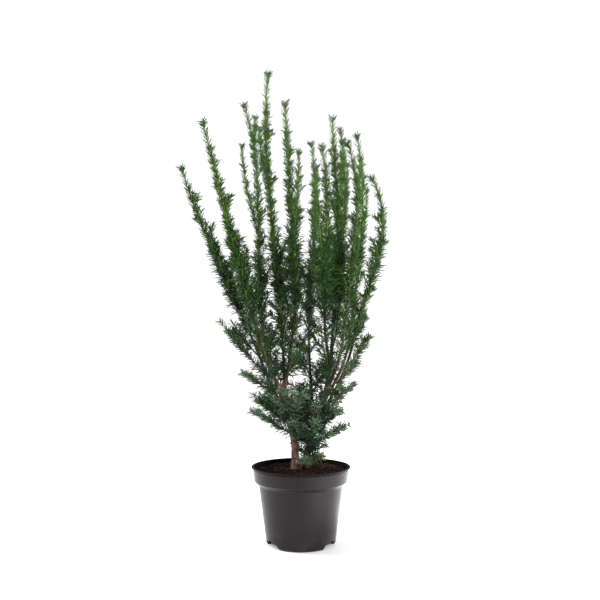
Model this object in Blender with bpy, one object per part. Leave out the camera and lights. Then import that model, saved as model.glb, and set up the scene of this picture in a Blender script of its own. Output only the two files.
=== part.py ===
"""An upright yew shrub in a round nursery pot: pot, compost, two stems, their boughs and the masses of foliage.

Metres, +Z up. The origin is the middle of the pot's flat underside, and -Y is the front.
Each stem and bough is one tapering limb. A branch is one smooth line that leaves a stem, is a bare bough as far as
its collar, and is a leafy leader from there to its tip. Side sprays stand on the stems and boughs below the collars.
Every mass of foliage is a main shoot with side shoots. A shoot is a slim three-sided core whose faces are drawn out
into needles, and a mass keeps to the space that is nearer to its own shoots than to those of any other mass.
"""

import math
import random

import bmesh
import bpy
import numpy as np
from mathutils import Matrix, Vector

MM = 0.001
UP = Vector((0, 0, 1))
CLEAR = 0.3 * MM  # the gap between touching solids
WELD = 0.01 * MM
SEED = 7

# The pot: a thin moulded wall with a deep band round the rim and three notches round the foot.
POT_HEIGHT = 147.5 * MM
LIP_RADIUS = 97.5 * MM
LIP_DEPTH = 3 * MM
BAND_TOP_RADIUS = 94.8 * MM
BAND_FOOT_RADIUS = 91.4 * MM
BAND_FOOT = POT_HEIGHT - 27.5 * MM
STEP_FOOT = BAND_FOOT - 8 * MM
BODY_TOP_RADIUS = 82.8 * MM
BODY_FOOT_RADIUS = 67.6 * MM
FOOT_RADIUS = 64.5 * MM
FOOT_ROUNDING = 4 * MM
POT_WALL = 1.6 * MM
POT_STEPS = 32
NOTCHES = 3
NOTCH_HALF_ANGLE = math.radians(21)
NOTCH_TAPER = 0.88
NOTCH_STEPS = 3
NOTCH_HEIGHT = 9 * MM
NOTCH_REACH = 12 * MM
DRAIN_RADIUS = 4.5 * MM
DRAIN_SIDES = 8

# The compost fills the pot and rises a little towards the stems.
COMPOST_EDGE = POT_HEIGHT - 9 * MM
COMPOST_TOP = 143.2 * MM
COMPOST_CROWN_RADIUS = 26 * MM
COMPOST_RINGS = 4
COMPOST_STEPS = 24
COMPOST_BUMP = 1.2 * MM
COMPOST_GAP = 0.75 * MM

# Each stem, from its flat cut on the compost to the tip of its own leader: its points in mm, and the radii in mm at
# the lower points, which are the bare limb's.
STEMS = {
    "left_stem": (
        [(-10, -8, 143.5), (-11, -8, 165), (-15, -9, 205), (-33, -14, 272), (-34, -16, 300),
         (-24, -20, 345), (-17, -26, 400), (-12, -34, 455), (-18, -66, 610), (-31, -85, 850)],
        [10.5, 7.8, 6.6, 6.0, 5.2, 3.7, 2.6],
    ),
    "right_stem": (
        [(8, 6, 143.5), (11, 6, 165), (20, 6, 200), (33, 3, 245), (50, -1, 295), (60, -10, 365),
         (63, -19, 418), (70, -29, 470), (74, -46, 580), (61, -65, 828)],
        [9.5, 7.4, 6.6, 5.8, 4.9, 3.9, 2.6],
    ),
}

# Each branch: its stem, the height in mm where it leaves, its collar and its tip in mm, and its lean at the tip.
BRANCHES = {
    "far_left": ("left_stem", 247, (-101, 14, 404), (-247, 10, 751), (-0.30, 0.0)),
    "left_front": ("left_stem", 290, (-86, -42, 410), (-194, -52, 825), (-0.25, 0.0)),
    "left_back": ("left_stem", 275, (-77, 41, 412), (-123, 68, 906), (-0.30, 0.0)),
    "tall": ("left_stem", 316, (-37, 3, 394), (-68, 0, 947), (0.10, 0.0)),
    "back": ("right_stem", 226, (17, 60, 392), (23, 95, 830), (-0.15, 0.0)),
    "front": ("right_stem", 346, (46, -50, 420), (39, -100, 760), (-0.20, 0.0)),
    "back_right": ("right_stem", 380, (75, 28, 434), (87, 100, 862), (-0.15, 0.0)),
    "right_front": ("right_stem", 292, (82, -43, 402), (90, -72, 776), (-0.35, 0.0)),
    "right_back": ("right_stem", 264, (100, 40, 398), (119, 52, 833), (-0.20, 0.0)),
    "far_right": ("right_stem", 238, (102, -22, 388), (141, -24, 720), (-0.60, 0.0)),
}
BOUGH_FOOT_RADIUS = 3.6 * MM
BOUGH_TIP_RADIUS = 2.5 * MM
BOUGH_SHARE = 0.8  # the most of its stem's radius that a bough's foot may have
BOUGH_SPREAD = 1.5  # how much flatter than its chord a bough leaves its stem
LINE_STEP = 5 * MM
LIMB_RING_STEP = 36 * MM
LIMB_SIDES = 6

# Upright offshoots of the leaders: the leader, the height in mm where each leaves it, and its tip in mm.
OFFSHOOTS = [
    ("left_back", 620, (-129, 92, 824)),
    ("left_back", 790, (-100, 84, 884)),
    ("tall", 690, (-84, -14, 826)),
    ("back", 600, (36, 122, 786)),
    ("left_front", 530, (-150, -30, 676)),
    ("front", 520, (26, -118, 700)),
    ("right_front", 520, (112, -92, 742)),
    ("right_back", 540, (142, 76, 720)),
    ("left_stem", 560, (-4, -98, 752)),
    ("right_stem", 600, (80, -84, 776)),
    ("back_right", 600, (104, 120, 790)),
    ("far_left", 500, (-186, 34, 630)),
    ("far_right", 500, (166, -6, 640)),
]

# Side sprays: the limb that carries each, the height in mm where it leaves, and its tip in mm.
SPRAYS = {
    "low_left": ("left_stem", 214, (-99, -14, 256)),
    "low_left_back": ("left_stem", 234, (-97, 38, 284)),
    "mid_left": ("far_left", 292, (-116, -18, 330)),
    "long_left": ("far_left", 330, (-162, -12, 432)),
    "upper_left": ("far_left", 362, (-142, 46, 430)),
    "low_right": ("right_stem", 186, (95, -22, 229)),
    "low_right_back": ("right_stem", 212, (76, 52, 258)),
    "mid_right": ("far_right", 270, (94, -50, 306)),
    "right_side": ("right_back", 306, (116, 20, 350)),
    "long_right": ("far_right", 340, (134, -38, 402)),
    "upper_right": ("right_back", 362, (126, 56, 456)),
    "low_front": ("left_stem", 196, (8, -58, 222)),
    "front_left": ("left_stem", 246, (-16, -84, 300)),
    "front_mid": ("left_stem", 318, (-6, -72, 402)),
    "front_high": ("left_stem", 372, (-42, -84, 470)),
    "front_right": ("right_stem", 330, (32, -78, 436)),
    "front_far_right": ("right_front", 352, (90, -90, 456)),
    "left_low_front": ("left_front", 346, (-86, -80, 440)),
    "back_low": ("left_stem", 226, (-26, 82, 272)),
    "back_left": ("left_back", 336, (-68, 88, 428)),
    "back_mid": ("back", 312, (-4, 92, 410)),
    "back_right_low": ("back", 288, (62, 84, 352)),
    "foot_tuft": ("right_stem", 156, (18, -30, 163)),
}

# The shoots of a mass, and their needles.
LEADER_FOOT_RADIUS = 2.2 * MM
SPRAY_FOOT_RADIUS = 1.8 * MM
SIDE_FOOT_RADIUS = 1.4 * MM
SHOOT_TIP_RADIUS = 0.8 * MM
SHOOT_SIDES = 3
SHOOT_TURN = math.radians(37)
SHOOT_STEP = 20 * MM
SHOOT_ROOM = 8 * MM  # how far a side shoot stays from the shoots of other masses
LIMB_ROOM = 5 * MM  # and from the surface of a limb
SIDE_FOOT_POINTS = 3  # how many points at a side shoot's foot may lie nearer
TRIES = 6  # how many ways round its carrier a side shoot looks for room
OFFSHOOT_SPREAD = 1.5
SPRAY_SPREAD = 1.4
LEADER_SIDES = 8
LEADER_SIDES_SPAN = (0.05, 0.72)
LEADER_SIDE_LENGTHS = (76 * MM, 26 * MM)
LEADER_SIDE_ANGLE = math.radians(31)
LEADER_SIDE_LIFT = 0.5
OUTWARD_LOSS = 0.75  # how much shorter a side shoot is that points straight out of the crown
SPRAY_SIDES = 4
SPRAY_SIDES_SPAN = (0.25, 0.72)
SPRAY_SIDE_SHARE = 0.6
SPRAY_SIDE_ANGLE = math.radians(42)
SPRAY_SIDE_LIFT = 0.15
GOLDEN_ANGLE = math.radians(137.5)

LEADER_NEEDLE_LENGTH = 21 * MM
LEADER_NEEDLE_ANGLE = math.radians(33)
SPRAY_NEEDLE_LENGTH = 22 * MM
SPRAY_NEEDLE_ANGLE = math.radians(56)
TIP_NEEDLE_SHARE = 0.65
SHORT_NEEDLE_SHARE = 0.72
SPRAY_FLATNESS = 0.45
BARE_FOOT = 9 * MM
SHARP_BEND = 0.16  # needles are left off the inner side of a bend that turns by more than this per step
FORK_ROOM = 0.3  # and off the side where a side shoot leaves
NEEDLE_SPACING = 2.6 * MM
NEEDLE_ROOM = 1.8 * MM  # how much nearer a needle is to its own mass than to another, and its room from a limb

COLOURS = {
    "pot": ((0.055, 0.052, 0.055), 0.38),
    "compost": ((0.030, 0.016, 0.011), 0.95),
    "bark": ((0.20, 0.095, 0.060), 0.85),
    "needles": ((0.052, 0.150, 0.040), 0.55),
}


# Objects and solids


def clear_scene():
    for obj in list(bpy.data.objects):
        bpy.data.objects.remove(obj)


def material(name):
    found = bpy.data.materials.get(name)
    if found:
        return found
    made = bpy.data.materials.new(name)
    made.use_nodes = True
    shader = made.node_tree.nodes["Principled BSDF"]
    colour, roughness = COLOURS[name]
    shader.inputs["Base Color"].default_value = (*colour, 1)
    shader.inputs["Roughness"].default_value = roughness
    shader.inputs["Metallic"].default_value = 0
    return made


def add_object(name, bm, finish):
    mesh = bpy.data.meshes.new(name)
    bmesh.ops.recalc_face_normals(bm, faces=bm.faces)
    bm.to_mesh(mesh)
    bm.free()
    mesh.materials.append(material(finish))
    obj = bpy.data.objects.new(name, mesh)
    bpy.context.scene.collection.objects.link(obj)
    return obj


def drop_strays(bm):
    """Keeps the body with the most faces. That fills a sealed hollow and drops a loose scrap."""
    left = set(bm.faces)
    bodies = []
    while left:
        front = [left.pop()]
        body = list(front)
        while front:
            near = {face for edge in front.pop().edges for face in edge.link_faces} & left
            left -= near
            front += near
            body += near
        bodies.append(body)
    bodies.sort(key=len)
    bmesh.ops.delete(bm, geom=[face for body in bodies[:-1] for face in body], context="FACES")


def apply_boolean(obj, step):
    """Leaves the object with the one body that the Boolean modifier makes, its closest corners welded."""
    step.solver = "EXACT"
    graph = bpy.context.evaluated_depsgraph_get()
    mesh = bpy.data.meshes.new_from_object(obj.evaluated_get(graph))
    obj.modifiers.remove(step)
    obj.data = mesh
    bm = bmesh.new()
    bm.from_mesh(mesh)
    bmesh.ops.remove_doubles(bm, verts=bm.verts, dist=WELD)
    drop_strays(bm)
    bm.to_mesh(mesh)
    bm.free()


def boolean(obj, operation, other):
    """Joins other to obj or cuts it out of obj, and removes other."""
    step = obj.modifiers.new("step", "BOOLEAN")
    step.operation = operation
    step.object = other
    apply_boolean(obj, step)
    bpy.data.objects.remove(other)


def shade_round(obj, sharp):
    obj.data.shade_smooth()
    obj.data.set_sharp_from_angle(angle=sharp)


def turned(name, profile, finish, steps):
    """A closed solid turned round the Z axis from a profile of (radius, height) that starts and ends on the axis."""
    bm = bmesh.new()
    verts = [bm.verts.new((radius, 0, z)) for radius, z in profile]
    edges = [bm.edges.new(pair) for pair in zip(verts, verts[1:])]
    bmesh.ops.spin(bm, geom=verts + edges, cent=(0, 0, 0), axis=UP, angle=math.tau, steps=steps, use_merge=True)
    bmesh.ops.remove_doubles(bm, verts=bm.verts, dist=WELD)
    return add_object(name, bm, finish)


# Lines


def smooth_line(points, first=None, last=None):
    """A fine line, LINE_STEP by LINE_STEP, along a smooth curve through the points. first and last lead it."""
    ways = [(points[min(i + 1, len(points) - 1)] - points[max(i - 1, 0)]).normalized() for i in range(len(points))]
    if first is not None:
        ways[0] = Vector(first).normalized()
    if last is not None:
        ways[-1] = Vector(last).normalized()
    fine = [points[0]]
    for a, b, way_a, way_b in zip(points, points[1:], ways, ways[1:]):
        chord = (b - a).length
        for u in np.linspace(0, 1, 25)[1:]:
            start = a * (2 * u**3 - 3 * u**2 + 1) + way_a * chord * (u**3 - 2 * u**2 + u)
            fine.append(start + b * (3 * u**2 - 2 * u**3) + way_b * chord * (u**3 - u**2))
    along = np.concatenate([[0], np.cumsum([(q - p).length for p, q in zip(fine, fine[1:])])])
    marks = np.linspace(0, along[-1], max(2, round(along[-1] / LINE_STEP) + 1))
    return [Vector(p) for p in zip(*(np.interp(marks, along, axis) for axis in zip(*fine)))]


def point_at(line, height):
    """The number of the line's point that is nearest to a height."""
    return min(range(len(line)), key=lambda i: abs(line[i].z - height))


def directions(line):
    return [(line[min(i + 1, len(line) - 1)] - line[max(i - 1, 0)]).normalized() for i in range(len(line))]


def flatter(way, spread):
    """A direction with its level part made spread times as long."""
    return Vector((way.x * spread, way.y * spread, way.z))


def frames(line):
    """A matrix for each point of the line: its Z axis runs along the line, and its X axis turns as little as it can."""
    ways = directions(line)
    x = ways[0].orthogonal()
    made = []
    for point, way in zip(line, ways):
        x = (x - way * x.dot(way)).normalized()
        made.append(Matrix.Translation(point) @ Matrix((x, way.cross(x), way)).transposed().to_4x4())
    return made


def levels(line, step):
    """The numbers of the line's points that lie about step apart, from its first point to its last."""
    count = max(1, round((len(line) - 1) * LINE_STEP / step))
    return [round(i) for i in np.linspace(0, len(line) - 1, count + 1)]


def forks(line):
    """Where side shoots can start on a shoot: the middle of each stretch of its core, and the way it runs there."""
    rings = [line[i] for i in levels(line, SHOOT_STEP)]
    return [((low + high) / 2, (high - low).normalized()) for low, high in zip(rings, rings[1:])]


def swept(line, radii, sides, step, turn=0.0):
    """A closed tube along the line, with a ring at each level. radii has a radius for each point of the line.

    Returns its bmesh and, for each stretch between two levels, the faces round it."""
    bm = bmesh.new()
    corners = [Vector((math.cos(a), math.sin(a), 0)) for a in np.linspace(0, math.tau, sides, endpoint=False)]
    places = frames(line)
    rings = []
    for k, i in enumerate(levels(line, step)):
        place = places[i] @ Matrix.Rotation(turn * k, 4, "Z")
        rings.append([bm.verts.new(place @ (corner * radii[i])) for corner in corners])
    stretches = [
        [bm.faces.new((low[k - 1], low[k], high[k], high[k - 1])) for k in range(sides)]
        for low, high in zip(rings, rings[1:])
    ]
    bm.faces.new(rings[0][::-1])
    bm.faces.new(rings[-1])
    return bm, stretches


# Pot and compost


def pot_inside():
    """The profile of the pot's inner wall, from the floor up, as (radius, height)."""
    slant = POT_WALL / 2
    return [
        (FOOT_RADIUS - POT_WALL, POT_WALL),
        (BODY_FOOT_RADIUS - POT_WALL, FOOT_ROUNDING + slant),
        (BODY_TOP_RADIUS - POT_WALL, STEP_FOOT + slant),
        (BAND_FOOT_RADIUS - POT_WALL, BAND_FOOT + slant),
        (BAND_TOP_RADIUS - POT_WALL, POT_HEIGHT),
    ]


def inner_radius(z):
    radii, heights = zip(*pot_inside())
    return float(np.interp(z, heights, radii))


def notch_turns():
    """Where the notches are, counted round from the front, where a foot stands."""
    return [(k + 0.5) * math.tau / NOTCHES for k in range(NOTCHES)]


def sector(turn, low, high, half_angles, inner, outers):
    """A closed block round the middle of a notch. Its half angle and outer radius differ at its foot and its top."""
    bm = bmesh.new()
    rows = []
    for z, half, outer in zip((low, high), half_angles, outers):
        angles = [turn - math.pi / 2 + half * share for share in np.linspace(-1, 1, NOTCH_STEPS + 1)]
        outline = [(outer, a) for a in angles] + [(inner, a) for a in reversed(angles)]
        rows.append([bm.verts.new((r * math.cos(a), r * math.sin(a), z)) for r, a in outline])
    for row in rows:
        bm.faces.new(row)
    for k in range(len(rows[0])):
        bm.faces.new((rows[0][k - 1], rows[0][k], rows[1][k], rows[1][k - 1]))
    return bm


def drain_cutter(turn):
    """A round bar that cuts the drain hole through the top of a notch's back."""
    bm = bmesh.new()
    way = Vector((math.sin(turn), -math.cos(turn), 0))
    place = Matrix.Translation(way * FOOT_RADIUS + UP * NOTCH_HEIGHT)
    bmesh.ops.create_cone(
        bm, cap_ends=True, segments=DRAIN_SIDES, radius1=DRAIN_RADIUS, radius2=DRAIN_RADIUS, depth=NOTCH_REACH,
        matrix=place @ way.to_track_quat("Z", "Y").to_matrix().to_4x4(),
    )
    return bm


def make_pot():
    outside = [
        (0, 0),
        (FOOT_RADIUS, 0),
        (BODY_FOOT_RADIUS, FOOT_ROUNDING),
        (BODY_TOP_RADIUS, STEP_FOOT),
        (BAND_FOOT_RADIUS, BAND_FOOT),
        (BAND_TOP_RADIUS, POT_HEIGHT - LIP_DEPTH),
        (LIP_RADIUS, POT_HEIGHT - 0.7 * LIP_DEPTH),
        (LIP_RADIUS, POT_HEIGHT),
    ]
    pot = turned("pot", outside + pot_inside()[::-1] + [(0, POT_WALL)], "pot", POT_STEPS)
    wide = NOTCH_HALF_ANGLE
    narrow = wide * NOTCH_TAPER
    cheek = POT_WALL / FOOT_RADIUS
    roof = NOTCH_HEIGHT + POT_WALL
    notch_back = FOOT_RADIUS - NOTCH_REACH
    mid_walls = (FOOT_RADIUS - POT_WALL / 2, inner_radius(roof) + POT_WALL / 2)
    for turn in notch_turns():
        housing = sector(turn, POT_WALL / 2, roof, (wide + cheek, narrow + cheek), notch_back - POT_WALL, mid_walls)
        notch = sector(turn, -POT_WALL, NOTCH_HEIGHT, (wide, narrow), notch_back, (LIP_RADIUS, LIP_RADIUS))
        boolean(pot, "UNION", add_object("housing", housing, "pot"))
        boolean(pot, "DIFFERENCE", add_object("notch", notch, "pot"))
        boolean(pot, "DIFFERENCE", add_object("drain", drain_cutter(turn), "pot"))
    shade_round(pot, math.radians(30))
    return pot


def make_compost():
    rng = random.Random(SEED)
    bed = [(0, POT_WALL + COMPOST_GAP)]
    bed += [(radius - COMPOST_GAP, z + COMPOST_GAP) for radius, z in pot_inside()[:-1]]
    rim = inner_radius(COMPOST_EDGE) - COMPOST_GAP
    for share in np.linspace(0, 1, COMPOST_RINGS):
        height = COMPOST_EDGE + (COMPOST_TOP - COMPOST_EDGE) * math.sin(share * math.pi / 2)
        bed.append((rim + (COMPOST_CROWN_RADIUS - rim) * share, height))
    bed.append((0, COMPOST_TOP))
    compost = turned("compost", bed, "compost", COMPOST_STEPS)
    for vert in compost.data.vertices:
        radius = math.hypot(vert.co.x, vert.co.y)
        if vert.co.z > COMPOST_EDGE and COMPOST_CROWN_RADIUS + 1 * MM < radius < rim - 1 * MM:
            vert.co.z += rng.uniform(-COMPOST_BUMP, COMPOST_BUMP)
    cheek = (POT_WALL + 2 * COMPOST_GAP) / FOOT_RADIUS
    half_angles = (NOTCH_HALF_ANGLE + cheek, NOTCH_HALF_ANGLE * NOTCH_TAPER + cheek)
    back = FOOT_RADIUS - NOTCH_REACH - POT_WALL - COMPOST_GAP
    for turn in notch_turns():
        room = sector(turn, -POT_WALL, NOTCH_HEIGHT + POT_WALL + COMPOST_GAP, half_angles, back,
                      (LIP_RADIUS, LIP_RADIUS))
        boolean(compost, "DIFFERENCE", add_object("notch_room", room, "compost"))
    return compost


# The plant's plan: every line is settled before any solid is made


class Limb:
    """A stem or bough: its line, its radius at each point, and the stem that carries it."""

    def __init__(self, line, radii, carrier=None):
        self.line = line
        self.radii = radii
        self.carrier = carrier

    def solid(self, extra=0.0):
        """The limb as a closed tube, thicker all round by extra. A stem's foot is cut level."""
        bm, _ = swept(self.line, [radius + extra for radius in self.radii], LIMB_SIDES, LIMB_RING_STEP)
        if not self.carrier:
            bm.verts.ensure_lookup_table()
            for vert in bm.verts[:LIMB_SIDES]:
                vert.co.z = self.line[0].z
        return bm


class Mass:
    """A mass of foliage: its main shoot, the side shoots on it, and how its needles lie."""

    def __init__(self, owner, line, carrier, flat):
        self.owner = owner
        self.line = line
        self.carrier = carrier
        self.flat = flat
        self.shoots = []


class Crown:
    """Where the limbs and the shoots of every mass lie, so that each keeps to its own space."""

    def __init__(self, limbs):
        self.limb_points = np.array([tuple(p) for limb in limbs for p in limb.line])
        self.limb_radii = np.array([r for limb in limbs for r in limb.radii])
        self.points = np.zeros((0, 3))
        self.owners = np.zeros(0, int)

    def add(self, owner, line):
        self.points = np.vstack([self.points, [tuple(point) for point in line]])
        self.owners = np.concatenate([self.owners, np.full(len(line), owner)])

    def limb_gap(self, point):
        return float((np.linalg.norm(self.limb_points - point, axis=1) - self.limb_radii).min())

    def shoot_gap(self, owner, point, own):
        """The distance from a point to the nearest shoot of its own mass, or of all the others."""
        chosen = self.points[(self.owners == owner) == own]
        return float(np.linalg.norm(chosen - point, axis=1).min())

    def shoot_fits(self, owner, line):
        """True for a side shoot that stays clear of the limbs and of the other masses."""
        return all(
            self.limb_gap(point) > LIMB_ROOM and self.shoot_gap(owner, point, False) > SHOOT_ROOM
            for point in line[SIDE_FOOT_POINTS:]
        )

    def needle_fits(self, owner, samples):
        """True for a needle that stays in its own mass's space and off the limbs."""
        return all(
            self.limb_gap(point) > NEEDLE_ROOM
            and self.shoot_gap(owner, point, False) > self.shoot_gap(owner, point, True) + NEEDLE_ROOM
            for point in samples
        )


def plan_limbs():
    """Returns the limbs, and for each stem and branch the line of its leader above the bare limb."""
    limbs, leaders = {}, {}
    for name, (points, radii) in STEMS.items():
        line = smooth_line([Vector(p) * MM for p in points])
        heights = [p[2] * MM for p in points[: len(radii)]]
        collar = point_at(line, heights[-1])
        limbs[name] = Limb(line[: collar + 1], [float(np.interp(p.z, heights, radii)) * MM for p in line[: collar + 1]])
        leaders[name] = line[collar:]
    for name, (stem, height, collar, tip, lean) in BRANCHES.items():
        carrier = limbs[stem]
        root = point_at(carrier.line, height * MM)
        foot, collar, tip = carrier.line[root], Vector(collar) * MM, Vector(tip) * MM
        line = smooth_line([foot, collar, tip], first=flatter(collar - foot, BOUGH_SPREAD), last=(*lean, 1))
        cut = point_at(line, collar.z)
        thick = min(BOUGH_FOOT_RADIUS, carrier.radii[root] * BOUGH_SHARE)
        limbs[name] = Limb(line[: cut + 1], list(np.linspace(thick, BOUGH_TIP_RADIUS, cut + 1)), carrier)
        leaders[name] = line[cut:]
    return limbs, leaders


def side_shoot(foot, way, length, lift):
    """A side shoot that starts along way and bends upwards by lift."""
    end_way = (way + UP * lift).normalized()
    tip = foot + (way + end_way).normalized() * length
    return smooth_line([foot, tip], first=way, last=end_way)


def leader_sides(line, rng, fits):
    """Side shoots all round a leader's lower part, shorter higher up and where they point out of the crown.

    Each turns to a side where it has room.
    """
    places = forks(line)
    turn = rng.uniform(0, math.tau)
    for rise in np.linspace(0, 1, LEADER_SIDES):
        share = np.interp(rise, (0, 1), LEADER_SIDES_SPAN)
        foot, way = places[round(float(share) * len(places))]
        length = float(np.interp(rise**0.7, (0, 1), LEADER_SIDE_LENGTHS)) * rng.uniform(0.85, 1.1)
        outwards = Vector((foot.x, foot.y, 0)).normalized()
        for _ in range(TRIES):
            turn += GOLDEN_ANGLE
            out = Matrix.Rotation(turn, 3, way) @ way.orthogonal().normalized()
            aim = way * math.cos(LEADER_SIDE_ANGLE) + out * math.sin(LEADER_SIDE_ANGLE)
            reach = length * (1 - OUTWARD_LOSS * max(0, out.dot(outwards)))
            shoot = side_shoot(foot, aim, max(reach, SHOOT_STEP), LEADER_SIDE_LIFT)
            if fits(shoot):
                yield shoot
                break


def spray_sides(line, rng, fits):
    """Side shoots to the left and right of a spray, nearly level with it."""
    places = forks(line)
    length = (line[-1] - line[0]).length
    for k, share in enumerate(np.linspace(*SPRAY_SIDES_SPAN, SPRAY_SIDES)):
        foot, way = places[round(float(share) * (len(places) - 1))]
        across = way.cross(UP).normalized() * (1 if k % 2 else -1)
        aim = way * math.cos(SPRAY_SIDE_ANGLE) + across * math.sin(SPRAY_SIDE_ANGLE)
        aim = (aim + UP * rng.uniform(-0.1, 0.25)).normalized()
        reach = length * SPRAY_SIDE_SHARE * (1.1 - float(share)) * rng.uniform(0.85, 1.1)
        shoot = side_shoot(foot, aim, max(reach, 1.5 * SHOOT_STEP), SPRAY_SIDE_LIFT)
        if fits(shoot):
            yield shoot


def plan_masses(limbs, leaders):
    """The masses with all their shoots, and the crown that they share."""
    masses = {}
    crown = Crown(limbs.values())
    for name, line in leaders.items():
        foot = line[0] + directions(line)[0] * CLEAR
        masses["foliage_" + name] = Mass(len(masses), [foot, *line[1:]], None, False)
    for name, (limb, height, tip) in SPRAYS.items():
        carrier = limbs[limb]
        foot = carrier.line[point_at(carrier.line, height * MM)]
        chord = Vector(tip) * MM - foot
        line = smooth_line([foot, foot + chord], first=flatter(chord, SPRAY_SPREAD), last=chord)
        masses["spray_" + name] = Mass(len(masses), line, carrier, True)
    for mass in masses.values():
        crown.add(mass.owner, mass.line)
    for leader, height, tip in OFFSHOOTS:
        mass = masses["foliage_" + leader]
        foot, _ = min(forks(mass.line), key=lambda fork: abs(fork[0].z - height * MM))
        chord = Vector(tip) * MM - foot
        shoot = smooth_line([foot, foot + chord], first=flatter(chord, OFFSHOOT_SPREAD), last=UP)
        mass.shoots.append(shoot)
        crown.add(mass.owner, shoot)
    for name, mass in masses.items():
        rng = random.Random(f"{SEED} {name}")
        grow = spray_sides if mass.flat else leader_sides
        for shoot in grow(mass.line, rng, lambda line: crown.shoot_fits(mass.owner, line)):
            mass.shoots.append(shoot)
            crown.add(mass.owner, shoot)
    return masses, crown


# Foliage


def flattened(outward, way):
    """The same direction brought towards the level plane through the shoot, as on a two-ranked spray."""
    across = UP.cross(way)
    if across.length < 0.3:
        return outward
    across.normalize()
    side = 1 if outward.dot(across) >= 0 else -1
    lift = (UP - way * UP.dot(way)).normalized()
    return (across * side + lift * outward.dot(lift) * SPRAY_FLATNESS).normalized()


class Needles:
    """Draws the faces of a mass's shoots out into needles that don't cross each other or a shoot."""

    def __init__(self, mass, crown, rng):
        self.mass = mass
        self.crown = crown
        self.rng = rng
        self.length = SPRAY_NEEDLE_LENGTH if mass.flat else LEADER_NEEDLE_LENGTH
        self.angle = SPRAY_NEEDLE_ANGLE if mass.flat else LEADER_NEEDLE_ANGLE
        self.taken = crown.points[crown.owners == mass.owner]

    def has_room(self, root, ends, tip):
        """Tests points along a needle and along its two edges, which run up from its stretch's ends."""
        spine = np.array([tuple(root.lerp(tip, share)) for share in (0.4, 0.6, 0.8, 1.0)])
        edges = np.array([tuple(end.lerp(tip, share)) for end in ends for share in (0.3, 0.6)])
        if np.linalg.norm(self.taken[:, None] - spine[None], axis=2).min() < NEEDLE_SPACING:
            return False
        if not self.crown.needle_fits(self.mass.owner, [*spine, *edges]):
            return False
        self.taken = np.vstack([self.taken, spine])
        return True

    def grow(self, bm, stretches, line):
        line = [line[i] for i in levels(line, SHOOT_STEP)]
        ways = [(b - a).normalized() for a, b in zip(line, line[1:])]
        for i, faces in enumerate(stretches):
            if (line[i] - line[0]).length < BARE_FOOT:
                continue
            rise = (i + 1) / len(stretches)
            bend = ways[min(i + 1, len(ways) - 1)] - ways[i - 1]
            middle = (line[i] + line[i + 1]) / 2
            forking = [(s[1] - s[0]).normalized() for s in self.mass.shoots if (s[0] - middle).length < WELD]
            for face in faces:
                root = face.calc_center_median()
                outward = root - line[i]
                outward = (outward - ways[i] * outward.dot(ways[i])).normalized()
                if outward.dot(bend) > SHARP_BEND or any(outward.dot(way) > FORK_ROOM for way in forking):
                    continue
                if self.mass.flat:
                    outward = flattened(outward, ways[i])
                angle = self.angle * (1 - 0.35 * rise**2) * self.rng.uniform(0.85, 1.15)
                reach = self.length * (1 - (1 - TIP_NEEDLE_SHARE) * rise**3) * self.rng.uniform(0.88, 1.1)
                needle = (ways[i] * math.cos(angle) + outward * math.sin(angle)) * reach
                for share in (1, SHORT_NEEDLE_SHARE):
                    tip = root + needle * share
                    if self.has_room(root, line[i : i + 2], tip):
                        bmesh.ops.poke(bm, faces=[face])["verts"][0].co = tip
                        break


def needled_shoot(name, line, foot_radius, needles):
    radii = np.linspace(foot_radius, SHOOT_TIP_RADIUS, len(line))
    bm, stretches = swept(line, radii, SHOOT_SIDES, SHOOT_STEP, turn=SHOOT_TURN)
    needles.grow(bm, stretches, line)
    bmesh.ops.triangulate(bm, faces=bm.faces)
    return add_object(name, bm, "needles")


def make_mass(name, mass, crown):
    """A mass of foliage: its shoots with their needles, made one solid by a Boolean union."""
    needles = Needles(mass, crown, random.Random(f"{SEED} needles {name}"))
    whole = needled_shoot(name, mass.line, SPRAY_FOOT_RADIUS if mass.flat else LEADER_FOOT_RADIUS, needles)
    if mass.carrier:
        clear_of(whole, mass.carrier)
    group = bpy.data.collections.new("side_shoots")
    for line in mass.shoots:
        shoot = needled_shoot("side_shoot", line, SIDE_FOOT_RADIUS, needles)
        bpy.context.scene.collection.objects.unlink(shoot)
        group.objects.link(shoot)
    union = whole.modifiers.new("union", "BOOLEAN")
    union.operation = "UNION"
    union.operand_type = "COLLECTION"
    union.collection = group
    apply_boolean(whole, union)
    for shoot in list(group.objects):
        bpy.data.objects.remove(shoot)
    bpy.data.collections.remove(group)
    return whole


# Limbs


def clear_of(obj, carrier):
    """Cuts the foot of obj to the surface of the limb that carries it, with a small gap."""
    boolean(obj, "DIFFERENCE", add_object("carrier_room", carrier.solid(CLEAR), "bark"))


def make_limb(name, limb):
    obj = add_object(name, limb.solid(), "bark")
    if limb.carrier:
        clear_of(obj, limb.carrier)
    shade_round(obj, math.radians(55))
    return obj


def main():
    clear_scene()
    limbs, leaders = plan_limbs()
    masses, crown = plan_masses(limbs, leaders)
    made = [make_pot(), make_compost()]
    made += [make_limb("bough_" + name if limb.carrier else name, limb) for name, limb in limbs.items()]
    made += [make_mass(name, mass, crown) for name, mass in masses.items()]
    shrub = bpy.data.objects.new("potted_yew", None)
    bpy.context.scene.collection.objects.link(shrub)
    for obj in made:
        obj.parent = shrub


main()
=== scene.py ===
"""The looks of an upright yew shrub in a nursery pot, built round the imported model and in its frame.

Metres, +Z up, -Y the front. The pot and the compost come first, then the two stems with their boughs, then
the foliage: its plan, its twigs, its needles and its buds. The floor, the lights and the camera come last.
"""

import math
import random

import bmesh
import bpy
import numpy as np
from mathutils import Matrix, Vector, kdtree, noise


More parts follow.
